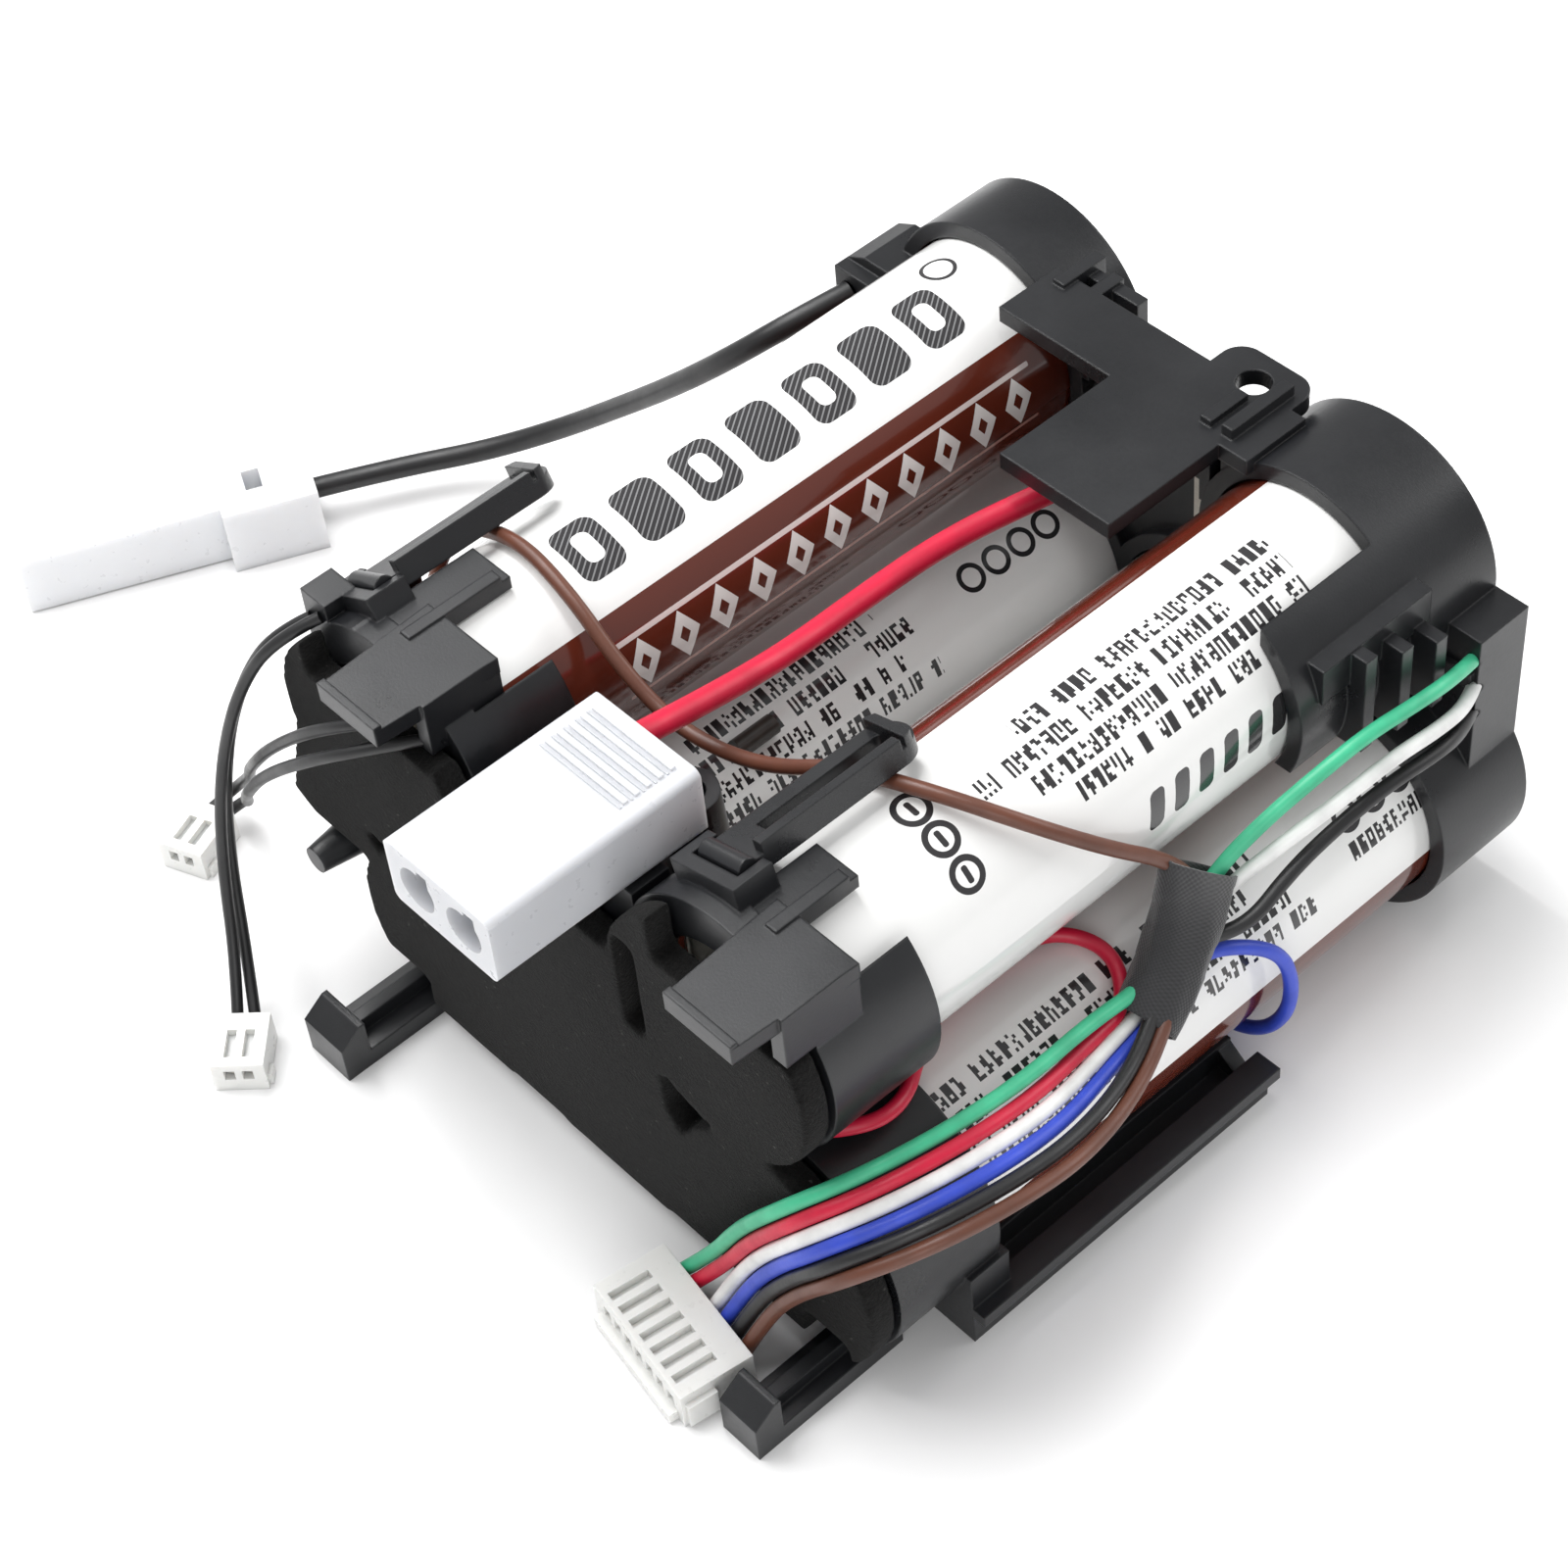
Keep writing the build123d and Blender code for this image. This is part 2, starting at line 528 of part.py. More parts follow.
def positive_strip():
    """Strip from the near end of the upper right cell to the joint of the positive lead."""
    x, z = AXES["2"]
    y = NEAR_FACE - STRIP_THICK
    ear = slab_y([(x, z + 2), (x, z - 2.5), (LINK_X[1], LINK_Z), (LINK_X[0], LINK_Z),
                  (LINK_X[0], LINK_Z + 4)], y, NEAR_FACE)
    bar = box(*LINK_X, y, LINK_END, LINK_Z, LINK_Z + STRIP_THICK)
    riser = box(LINK_X[0], RED_EXIT[0] + 2, LINK_END - STRIP_THICK, LINK_END, LINK_Z, RED_EXIT[2] + 1.6)
    return rod(STRIP_WIDTH / 2, y, NEAR_FACE, x, z) + [ear, bar, riser, near_contact("2")]


def far_strip(key_a, key_b):
    """Strip between two cells inside the far cups."""
    bar = strip(key_a, key_b, FAR_END + FAR_STRIP_GAP)
    return bar


def negative_strip():
    """Tab on the far end of the upper left cell, with the ear of the negative lead."""
    x, z = AXES["1"]
    y = FAR_END + FAR_STRIP_GAP
    ear = box(x - 7.6, x, y, y + STRIP_THICK, z - 2, z + 5)
    return rod(STRIP_WIDTH / 2, y, y + STRIP_THICK, x, z) + ear


# ---------------------------------------------------------------- leads
BLACK_EXIT = (-32.6, 29.0, 31.8)
RED_EXIT = (3.4, 33.8, 37.2)
SEVEN_WAY_ANGLE = -9.0
SEVEN_WAY_CENTRE = (18.2, -39.2, 0.0)
SEVEN_PITCH = 1.5
SEVEN_DEPTH = 6.4
SEVEN_HEIGHT = 3.8

BLACK_ROUTE = [BLACK_EXIT, (-33.8, 23.6, 31.2), (-38.2, 19.6, 27.0), (-45.0, 18.4, 20.6),
               (-52.8, 18.4, 13.6), (-60.4, 16.4, 7.4), (-66.8, 11.6, 3.8), (-71.6, 5.0, 3.2),
               (-75.0, -2.3, 3.4)]
RED_ROUTE = [RED_EXIT, (2.2, 27.0, 36.4), (-0.4, 19.6, 35.6), (-2.6, 11.4, 35.0),
             (-2.7, 3.0, 35.1), (-1.9, -5.6, 36.0), (-0.9, -13.9, 38.2), (-0.7, -22.05, 40.05)]

# harness trunk: centre, step from one wire to the next, and gap between two layers in the tape
TRUNK = [
    ((18.7, -35.98, 1.9), (1.48, -0.235, 0.0), 0.0),
    ((20.6, -34.2, 5.8), (1.45, -0.2, 0.1), 0.0),
    ((24.4, -34.2, 12.8), (1.4, -0.1, -0.1), 0.0),
    ((29.2, -34.0, 19.4), (1.35, 0.0, -0.35), 0.0),
    ((33.2, -29.2, 22.6), (1.3, 0.1, -0.5), 0.0),
    ((34.6, -21.8, 22.2), (1.25, 0.0, -0.6), 0.0),
    ((34.4, -14.2, 20.6), (1.2, 0.0, -0.7), 0.5),
    ((33.0, -6.8, 19.0), (1.1, 0.1, -0.8), 1.3),
    ((31.6, -0.6, 19.2), (1.2, 0.3, -0.8), 1.3),
    ((30.6, 3.6, 20.8), (1.2, 0.5, -0.7), 1.3),
]
LAYER_DIRECTION = (0.55, 0.0, 0.83)
WIRE_SLOTS = {"green": 0, "red": 1, "white": 3, "blue": 4, "black": 5, "brown": 6}
TRUNK_PLACE = {"green": 0, "red": 1, "white": 2, "blue": 3, "black": 4, "brown": 5}
TAPE_PLACE = {"green": (-1, 0.5), "red": (-1, -0.5), "white": (0, -0.5),
              "black": (0, 0.5), "blue": (1, -0.5), "brown": (1, 0.5)}
TRUNK_STOP = {"green": 10, "red": 8, "white": 10, "blue": 10, "black": 10, "brown": 9}

BRANCH = {
    "brown": [(33.2, 3.0, 22.2), (31.0, 4.2, 26.6), (29.4, 2.0, 31.2), (28.0, -2.2, 35.0),
              (25.4, -7.2, 39.2), (19.8, -11.2, 41.6), (12.2, -13.2, 40.1), (6.6, -14.2, 36.4),
              (1.2, -14.9, 34.4), (-4.6, -15.5, 34.2), (-9.6, -15.9, 37.2), (-14.4, -15.7, 40.6),
              (-21.2, -15.1, 41.7), (-28.4, -15.0, 38.4), (-31.8, -16.2, 33.4),
              (-30.4, -19.7, 28.4)],
    "green": [(29.4, 7.6, 25.2), (30.3, 11.8, 28.0), (31.4, 15.9, 30.2), (32.1, 20.6, 31.6),
              (32.6, 25.8, 31.4), (32.2, 30.8, 30.2), (30.8, 35.25, 28.2)],
    "white": [(30.0, 7.8, 23.2), (31.7, 12.4, 26.0), (32.9, 17.0, 27.8), (33.6, 22.2, 29.0),
              (33.8, 27.4, 28.4), (32.9, 31.6, 27.0), (30.8, 35.25, 25.4)],
    "black": [(32.9, 7.2, 21.7), (32.6, 12.2, 23.6), (32.8, 16.9, 24.8), (33.4, 22.0, 26.0),
              (33.7, 27.4, 25.5), (32.8, 31.5, 24.1), (30.8, 35.25, 22.6)],
    "blue": [(32.4, 7.2, 19.2), (33.8, 10.1, 17.0), (34.1, 11.3, 12.8), (33.7, 11.4, 8.3),
             (31.5, 11.2, 4.3), (27.4, 11.4, 1.6), (22.6, 12.4, 0.8), (17.4, 15.4, 1.3),
             (13.9, 20.6, 2.8), (13.3, 27.4, 3.6), (13.3, 33.95, 3.8)],
    "red": [(30.3, -3.0, 19.1), (27.2, -0.2, 20.5), (23.5, -2.3, 21.8), (23.6, -7.0, 21.8),
            (24.4, -12.4, 21.9), (26.2, -17.2, 22.9), (27.8, -22.0, 23.8), (27.4, -26.4, 24.2),
            (24.9, -28.9, 24.0)],
}

PROBE_ROUTES = {
    "probe_wire_1a": [(-28.7, -29.75, 39.0), (-30.8, -32.2, 37.4), (-33.4, -34.0, 32.6),
                      (-35.8, -35.4, 26.0), (-37.0, -36.8, 18.6), (-36.4, -38.4, 11.2),
                      (-33.4, -40.6, 5.2), (-28.9, -43.65, 1.9)],
    "probe_wire_1b": [(-27.3, -29.75, 39.9), (-29.6, -33.0, 38.2), (-32.2, -35.4, 33.0),
                      (-34.4, -37.0, 26.0), (-35.5, -38.4, 18.8), (-35.0, -40.0, 11.6),
                      (-32.8, -42.0, 5.6), (-29.9, -44.75, 1.9)],
    "probe_wire_2a": [(-14.4, -29.75, 38.6), (-18.0, -33.2, 37.8), (-23.4, -35.2, 34.4),
                      (-29.6, -35.6, 28.2), (-36.0, -34.4, 20.4), (-42.4, -31.8, 12.6),
                      (-47.2, -29.6, 6.6), (-50.4, -29.4, 2.8), (-50.6, -32.75, 1.9)],
    "probe_wire_2b": [(-13.0, -29.75, 37.4), (-17.2, -34.0, 36.2), (-22.8, -36.6, 32.6),
                      (-29.2, -37.0, 26.4), (-35.4, -35.8, 18.6), (-41.4, -33.2, 11.0),
                      (-45.8, -31.0, 5.6), (-48.6, -30.0, 2.8), (-49.2, -32.25, 1.9)],
}


def vector_sum(a, b, scale=1.0):
    return tuple(p + q * scale for p, q in zip(a, b))


def trunk_points(colour):
    """Stations of one sense wire from its connector to the top of the tape."""
    points = []
    place = TRUNK_PLACE[colour]
    for number, (centre, across, layer) in enumerate(TRUNK[:TRUNK_STOP[colour]]):
        step = WIRE_SLOTS[colour] - 3 if number == 0 else place - 2.5
        if number > 7:
            step = TAPE_PLACE[colour][0]
        point = vector_sum(centre, across, step)
        points.append(vector_sum(point, LAYER_DIRECTION, layer * TAPE_PLACE[colour][1]))
    return points


def tube(points, radius, name):
    """Round tube along straight runs joined by tangent arcs, as large as the runs allow."""
    spots = [Vector(*p) for p in points]
    runs = [(b - a).length for a, b in zip(spots, spots[1:])]
    radii = []
    for i in range(1, len(spots) - 1):
        turn = (spots[i] - spots[i - 1]).get_angle(spots[i + 1] - spots[i])
        radii.append(0.45 * min(runs[i - 1], runs[i]) / math.tan(math.radians(turn) / 2))
    path = FilletPolyline(*points, radius=radii)
    start = Plane(origin=path @ 0, z_dir=path % 0)
    solid = sweep(start * Circle(radius), path=path)
    ratio = solid.volume / (math.pi * radius ** 2 * path.length)
    print(f"{name}: length {path.length:.1f}, runs {min(runs):.1f} to {max(runs):.1f}, "
          f"smallest radius {min(radii):.1f} = {min(radii) / radius / 2:.1f} diameters, "
          f"volume ratio {ratio:.3f}")
    return solid


# ---------------------------------------------------------------- housings on the leads
def single_pole_housing():
    """Long white housing with a stepped nose and a side window, on the negative lead."""
    body = Box(9.4, 9.0, 7.0, align=(Align.CENTER, Align.MAX, Align.MIN))
    nose = Pos(-0.6, -9.0, 0.8) * Box(7.0, 19.0, 5.4, align=(Align.CENTER, Align.MAX, Align.MIN))
    ridge = Pos(2.4, -9.0, 0.2) * Box(1.0, 19.0, 6.2, align=(Align.CENTER, Align.MAX, Align.MIN))
    hollow = Pos(-0.6, -12.0, 2.0) * Box(4.4, 20.0, 3.2, align=(Align.CENTER, Align.MAX, Align.MIN))
    entry = Pos(0, 1, 3.4) * Rot(90, 0, 0) * Cylinder(POWER_LEAD_R + 0.02, 30)
    window = Pos(0.6, -5.4, 6.0) * Box(2.6, 1.6, 3.0)
    shape = body + nose + ridge - hollow - entry - window
    return housing_place(shape, BLACK_ROUTE)


def housing_place(shape, route):
    """Turns a housing made along -Y so that it carries on from the last run of its lead."""
    (x0, y0, _), (x1, y1, z1) = route[-2], route[-1]
    heading = math.degrees(math.atan2(x1 - x0, -(y1 - y0)))
    return Pos(x1, y1, z1 - 3.4) * Rot(0, 0, heading) * shape


def single_pole_contact():
    blade = Pos(-0.6, -13.0, 3.1) * Box(3.0, 12.0, 0.8, align=(Align.CENTER, Align.MAX, Align.MIN))
    return housing_place(blade, BLACK_ROUTE)


TWO_POLE = (11.6, 19.4, 6.4)
TWO_POLE_AT = (1.9, -22.1, 36.85)
CAVITY_SPACING = 5.2


def two_pole_housing():
    """White two-way housing with a key slot under each round cavity."""
    width, length, height = TWO_POLE
    shape = Box(width, length, height, align=(Align.CENTER, Align.MAX, Align.MIN))
    shape = fillet(shape.edges().filter_by(Axis.Y), 0.7)
    for side in (-1, 1):
        x = side * CAVITY_SPACING / 2
        shape -= Pos(x, -length, height / 2) * Rot(90, 0, 0) * Cylinder(1.9, 22)
        shape -= Pos(x + 0.9, -length, height / 2 + 1.5) * Box(1.2, 22, 1.6)
    for i in range(5):
        shape += Pos(0, -1.2 - 1.1 * i, height) * Box(width - 3, 0.45, 0.5)
    shape -= Pos(-CAVITY_SPACING / 2, 0, height / 2) * Rot(90, 0, 0) * Cylinder(POWER_LEAD_R + 0.02, 22)
    return Pos(*TWO_POLE_AT) * shape


def two_pole_contact():
    x, y, z = TWO_POLE_AT
    sleeve = rod(1.6, y - 17.0, y - 11.4, x - CAVITY_SPACING / 2, z + TWO_POLE[2] / 2)
    return sleeve - rod(1.2, y - 18.0, y - 12.4, x - CAVITY_SPACING / 2, z + TWO_POLE[2] / 2)


def seven_way(shape):
    return Pos(*SEVEN_WAY_CENTRE) * Rot(0, 0, SEVEN_WAY_ANGLE) * shape


def seven_way_connector():
    """White seven-way crimp housing with a slotted top."""
    width = SEVEN_PITCH * 6 + 3.4
    shape = Pos(0, 0, SEVEN_HEIGHT / 2) * Box(width, SEVEN_DEPTH, SEVEN_HEIGHT)
    shape += Pos(0, -SEVEN_DEPTH / 2 - 0.4, 0.7) * Box(width - 1.6, 0.8, 1.0)
    for i in range(7):
        x = SEVEN_PITCH * (i - 3)
        shape -= Pos(x, 0, 1.9) * Box(0.95, SEVEN_DEPTH + 2, 1.25)
        shape -= Pos(x, -0.9, SEVEN_HEIGHT) * Box(0.8, 3.6, 1.6)
    for side in (-1, 1):
        shape += Pos(side * (width / 2 + 0.25), -1.6, 1.6) * Box(0.5, 2.6, 2.4)
    return seven_way(shape)


def seven_way_terminals():
    pins = []
    for colour in WIRE_SLOTS:
        x = SEVEN_PITCH * (WIRE_SLOTS[colour] - 3)
        pins.append(seven_way(Pos(x, -1.0, 1.9) * Box(0.75, 3.6, 0.9)))
    return Compound(children=pins)


PROBE_AT = {"probe_wire_1": (-28.57, -44.99, 0.0, 46.6), "probe_wire_2": (-49.47, -33.56, 0.0, 22.0)}
PROBE_PITCH = 1.5


def probe_plug(name):
    """Small two-way crimp housing at the end of a temperature probe."""
    x, y, z, angle = PROBE_AT[name]
    shape = Pos(0, -1.6, 1.6) * Box(4.4, 5.4, 3.2)
    shape += Pos(0, -3.2, 0.6) * Box(5.0, 1.2, 1.2)
    for side in (-0.5, 0.5):
        shape -= Pos(side * PROBE_PITCH, -1.6, 1.9) * Box(0.9, 8, 1.1)
        shape -= Pos(side * PROBE_PITCH, -2.0, 3.2) * Box(0.8, 2.8, 1.4)
    return Pos(x, y, z) * Rot(0, 0, angle) * shape


def probe_terminals():
    pins = []
    for name, (x, y, z, angle) in PROBE_AT.items():
        for side in (-0.5, 0.5):
            pin = Pos(side * PROBE_PITCH, -2.2, 1.9) * Box(0.7, 3.0, 0.8)
            pins.append(Pos(x, y, z) * Rot(0, 0, angle) * pin)
    return Compound(children=pins)


TAPE_TOP = (29.7, 8.4, 24.6)


def tape_wrap():
    """Cloth tape wound round the harness beside the right-hand cells."""
    near, middle = TRUNK[8][0], TRUNK[9][0]
    first = vector_sum(near, vector_sum(near, middle, -1.0), 0.5)
    return tube([first, middle, TAPE_TOP], 2.7, "harness_tape")


def thermistors():
    """Two probe beads in the valleys beside the upper cells."""
    left = rod(0.9, -6, -2, LOW_LEFT_X + 5.8, LOWER_Z + 8.6)
    right = rod(0.9, -6, -2, LOW_MID_X - 2.9, LOWER_Z + SLEEVE_R + 0.8)
    return Compound(children=[left, right])


nodes = {
    "near_holder": near_holder(),
    "far_holder": far_holder(),
    "near_foam_pad": near_foam(),
    "far_foam_pads": far_pads(),
    "button_rings": Compound(children=[ring(key) for key in AXES]),
    "positive_strip": positive_strip(),
    "negative_strip": negative_strip(),
    "snap_loop_left": snap_loop("1"),
    "snap_loop_right": snap_loop("2"),
    "single_pole_housing": single_pole_housing(),
    "single_pole_contact": single_pole_contact(),
    "two_pole_housing": two_pole_housing(),
    "two_pole_contact": two_pole_contact(),
    "seven_way_connector": seven_way_connector(),
    "seven_way_terminals": seven_way_terminals(),
    "probe_plug_1": probe_plug("probe_wire_1"),
    "probe_plug_2": probe_plug("probe_wire_2"),
    "probe_terminals": probe_terminals(),
    "harness_tape": tape_wrap(),
    "thermistors": thermistors(),
    "black_lead": tube(BLACK_ROUTE, POWER_LEAD_R, "black_lead"),
    "red_lead": tube(RED_ROUTE, POWER_LEAD_R, "red_lead"),
}
for a, b in NEAR_PAIRS:
    nodes[f"near_strip_{a}_{b}"] = near_strip(a, b)
for a, b in FAR_PAIRS:
    nodes[f"far_strip_{a}_{b}"] = far_strip(a, b)
for key in AXES:
    nodes["cell_" + key] = cell_can(key)
    nodes["sleeve_" + key] = cell_sleeve(key)
for colour in WIRE_SLOTS:
    name = "sense_wire_" + colour
    nodes[name] = tube(trunk_points(colour) + BRANCH[colour], SENSE_WIRE_R, name)
for name, route in PROBE_ROUTES.items():
    nodes[name] = tube(route, PROBE_WIRE_R, name)

# the holders, the pad, the connector and the tape are hollowed where the wires pass through them
WIRES = [name for name in nodes if name.startswith(("sense_wire", "probe_wire"))]
WIRES += ["red_lead", "black_lead"]
for name in ("near_holder", "far_holder", "near_foam_pad", "seven_way_connector", "harness_tape"):
    nodes[name] = nodes[name] - [nodes[wire] for wire in WIRES]

for name, shape in nodes.items():
    save(name, shape)
print(len(nodes), "nodes")
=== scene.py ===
# %% [markdown]
# A five-cell battery pack of a cordless vacuum cleaner, finished in Blender on a fixed CAD frame.
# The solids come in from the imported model. Here they get their finishes, and the soft pieces
# (leads, foam pad, cloth tape) are made again as what they are.

# %% Load the frame
import math

import bmesh
import bpy
from mathutils import Matrix, Vector, noise


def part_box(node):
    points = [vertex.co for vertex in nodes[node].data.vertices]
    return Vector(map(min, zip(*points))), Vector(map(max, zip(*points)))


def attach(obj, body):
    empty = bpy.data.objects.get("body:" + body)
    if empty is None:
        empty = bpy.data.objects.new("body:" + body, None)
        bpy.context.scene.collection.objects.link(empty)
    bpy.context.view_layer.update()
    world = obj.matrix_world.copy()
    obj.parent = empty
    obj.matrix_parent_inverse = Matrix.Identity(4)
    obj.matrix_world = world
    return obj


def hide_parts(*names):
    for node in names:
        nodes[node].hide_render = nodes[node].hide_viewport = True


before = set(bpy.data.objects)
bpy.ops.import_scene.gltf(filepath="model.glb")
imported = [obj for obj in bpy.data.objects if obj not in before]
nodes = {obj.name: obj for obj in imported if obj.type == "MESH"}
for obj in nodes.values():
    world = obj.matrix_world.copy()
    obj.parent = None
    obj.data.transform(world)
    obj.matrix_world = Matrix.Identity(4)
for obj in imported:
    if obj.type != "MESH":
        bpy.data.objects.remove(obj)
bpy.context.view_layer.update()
MM = 0.001

# %% [markdown]
# The camera looks down on the near left corner of the pack from its right, leaning a little,
# as a hand-held product shot does. Its place and directions are set from vectors, so no
# constraint is needed.

# %% Camera
EYE = Vector((0.1413, -0.1177, 0.2228))
LOOK = Vector((-0.5311, 0.4087, -0.7422)).normalized()
LEAN = math.radians(6.53)

level_right = LOOK.cross(Vector((0, 0, 1))).normalized()
level_up = level_right.cross(LOOK)
right = level_right * math.cos(LEAN) - level_up * math.sin(LEAN)
up = right.cross(LOOK)

camera = bpy.data.objects.new("camera", bpy.data.cameras.new("camera"))
bpy.context.scene.collection.objects.link(camera)
turn = Matrix((right, up, -LOOK)).transposed().to_4x4()
camera.matrix_world = Matrix.Translation(EYE) @ turn
camera.data.lens = 79.9
camera.data.sensor_width = 36.0
camera.data.clip_start = 0.01
bpy.context.scene.camera = camera
print("camera at", tuple(round(v, 3) for v in EYE))

# %% [markdown]
# Shader maths reads better as Python expressions. One small class holds a socket and its tree,
# and its operators add Math nodes. Any other node comes from one method.


# %% Shader expressions
class Sock:
    def __init__(self, tree, socket):
        self.tree = tree
        self.socket = socket

    def math(self, operation, *others):
        return node(self.tree, "ShaderNodeMath", {"operation": operation}, [self, *others])

    def __add__(self, other):
        return self.math("ADD", other)

    def __sub__(self, other):
        return self.math("SUBTRACT", other)

    def __rsub__(self, other):
        return node(self.tree, "ShaderNodeMath", {"operation": "SUBTRACT"}, [other, self])

    def __mul__(self, other):
        return self.math("MULTIPLY", other)

    def __truediv__(self, other):
        return self.math("DIVIDE", other)

    def __lt__(self, other):
        return self.math("LESS_THAN", other)

    def __gt__(self, other):
        return self.math("GREATER_THAN", other)

    def __abs__(self):
        return self.math("ABSOLUTE")

    __radd__ = __add__


def node(tree, kind, settings=None, values=None, out=0):
    """Adds one node: settings first, then its inputs by order or by name."""
    made = tree.nodes.new(kind)
    for key, value in (settings or {}).items():
        setattr(made, key, value)
    pairs = values.items() if isinstance(values, dict) else enumerate(values or [])
    for key, value in pairs:
        if isinstance(value, Sock):
            tree.links.new(value.socket, made.inputs[key])
        else:
            made.inputs[key].default_value = value
    return Sock(tree, made.outputs[out])


def mix(factor, a, b):
    """Colour a where factor is 0, b where it is 1."""
    made = factor.tree.nodes.new("ShaderNodeMix")
    made.data_type = "RGBA"
    factor.tree.links.new(factor.socket, made.inputs[0])
    for socket, value in ((made.inputs[6], a), (made.inputs[7], b)):
        if isinstance(value, Sock):
            factor.tree.links.new(value.socket, socket)
        else:
            socket.default_value = (*value, 1.0)
    return Sock(factor.tree, made.outputs[2])


class Finish:
    """A new material with its tree, object coordinates in millimetres, and one principled shader."""

    def __init__(self, name, **constants):
        self.material = bpy.data.materials.new(name)
        self.material.use_nodes = True
        self.tree = self.material.node_tree
        self.shader = self.tree.nodes["Principled BSDF"]
        for key, value in constants.items():
            self.shader.inputs[key.replace("_", " ")].default_value = value
        place = node(self.tree, "ShaderNodeTexCoord", out="Object")
        scaled = {"operation": "SCALE"}
        self.place = node(self.tree, "ShaderNodeVectorMath", scaled, {0: place, "Scale": 1000.0})

    def xyz(self):
        split = self.tree.nodes.new("ShaderNodeSeparateXYZ")
        self.tree.links.new(self.place.socket, split.inputs[0])
        return [Sock(self.tree, s) for s in split.outputs]

    def noise(self, scale, detail=3.0, rough=0.5, where=None):
        values = {"Vector": where or self.place, "Scale": scale, "Detail": detail,
                  "Roughness": rough}
        return node(self.tree, "ShaderNodeTexNoise", None, values)

    def ramp(self, value, stops):
        made = self.tree.nodes.new("ShaderNodeValToRGB")
        ends = made.color_ramp.elements
        for i, (place, grey) in enumerate(stops):
            stop = ends[i] if i < 2 else ends.new(place)
            stop.position = place
            stop.color = (grey, grey, grey, 1)
        self.tree.links.new(value.socket, made.inputs[0])
        return Sock(self.tree, made.outputs[0])

    def feed(self, name, value):
        self.tree.links.new(value.socket, self.shader.inputs[name])

    def bump(self, height, distance, strength=1.0, edge=0.0):
        values = {"Height": height, "Distance": distance * MM, "Strength": strength}
        if edge:
            values["Normal"] = node(self.tree, "ShaderNodeBevel", {"samples": 4},
                                    {"Radius": edge * MM})
        self.feed("Normal", node(self.tree, "ShaderNodeBump", None, values))


def wear(name, material):
    """Gives a CAD node its finish."""
    for place in nodes[name].material_slots:
        place.material = material


# %% [markdown]
# Studio: a pale floor, a pale even sky, three large soft lights, and one narrow strip light
# over the left side, which lays the long highlights along the glossy sleeves.

# %% Floor and light
floor_mesh = bpy.data.meshes.new("floor")
floor_mesh.from_pydata([(-4, -4, 0), (4, -4, 0), (4, 4, 0), (-4, 4, 0)], [], [(0, 1, 2, 3)])
floor = bpy.data.objects.new("floor", floor_mesh)
bpy.context.scene.collection.objects.link(floor)
floor_finish = Finish("floor_paper", Roughness=0.9)
floor_finish.feed("Base Color", mix(floor_finish.noise(0.02), (0.93, 0.93, 0.93), (0.90, 0.90, 0.90)))
floor_mesh.materials.append(floor_finish.material)

world = bpy.data.worlds.new("studio")
world.use_nodes = True
world.node_tree.nodes["Background"].inputs["Color"].default_value = (1.0, 1.0, 1.0, 1.0)
world.node_tree.nodes["Background"].inputs["Strength"].default_value = 0.50
bpy.context.scene.world = world
bpy.context.scene.view_settings.view_transform = "Standard"


def soft_light(name, place, target, size, power):
    lamp = bpy.data.lights.new(name, "AREA")
    lamp.shape = "RECTANGLE"
    lamp.size, lamp.size_y = size
    lamp.energy = power
    holder = bpy.data.objects.new(name, lamp)
    bpy.context.scene.collection.objects.link(holder)
    holder.location = place
    aim = Vector(target) - Vector(place)
    holder.rotation_euler = aim.to_track_quat("-Z", "Y").to_euler()


soft_light("key", (-0.25, -0.10, 0.55), (0, 0, 0.03), (0.45, 0.45), 3.0)
soft_light("fill", (0.50, -0.35, 0.30), (0, 0, 0.02), (0.40, 0.40), 1.0)
soft_light("back", (0.15, 0.60, 0.40), (0, 0, 0.02), (0.60, 0.25), 1.6)
soft_light("strip", (-0.12, 0.02, 0.34), (0, 0, 0.03), (0.035, 0.50), 0.7)
print("studio ready")

# %% [markdown]
# The leads are cords of known length. Each is one smooth curve whose control points are its
# route, and a round bevel gives it its thickness. A curve was chosen over a swept mesh because
# its line stays editable. Routes run from where the wire leaves the pack to what it ends in.

# %% Routes of the leads
BLACK_EXIT = (-32.6, 29.0, 31.8)
RED_EXIT = (3.4, 33.8, 37.2)
BLACK_ROUTE = [BLACK_EXIT, (-33.8, 23.6, 31.2), (-38.2, 19.6, 27.0), (-45.0, 18.4, 20.6),
               (-52.8, 18.4, 13.6), (-60.4, 16.4, 7.4), (-66.8, 11.6, 3.8), (-71.6, 5.0, 3.2),
               (-75.0, -2.3, 3.4)]
RED_ROUTE = [RED_EXIT, (2.2, 27.0, 36.4), (-0.4, 19.6, 35.6), (-2.6, 11.4, 35.0),
             (-2.7, 3.0, 35.1), (-1.9, -5.6, 36.0), (-0.9, -13.9, 38.2), (-0.7, -22.05, 40.05)]

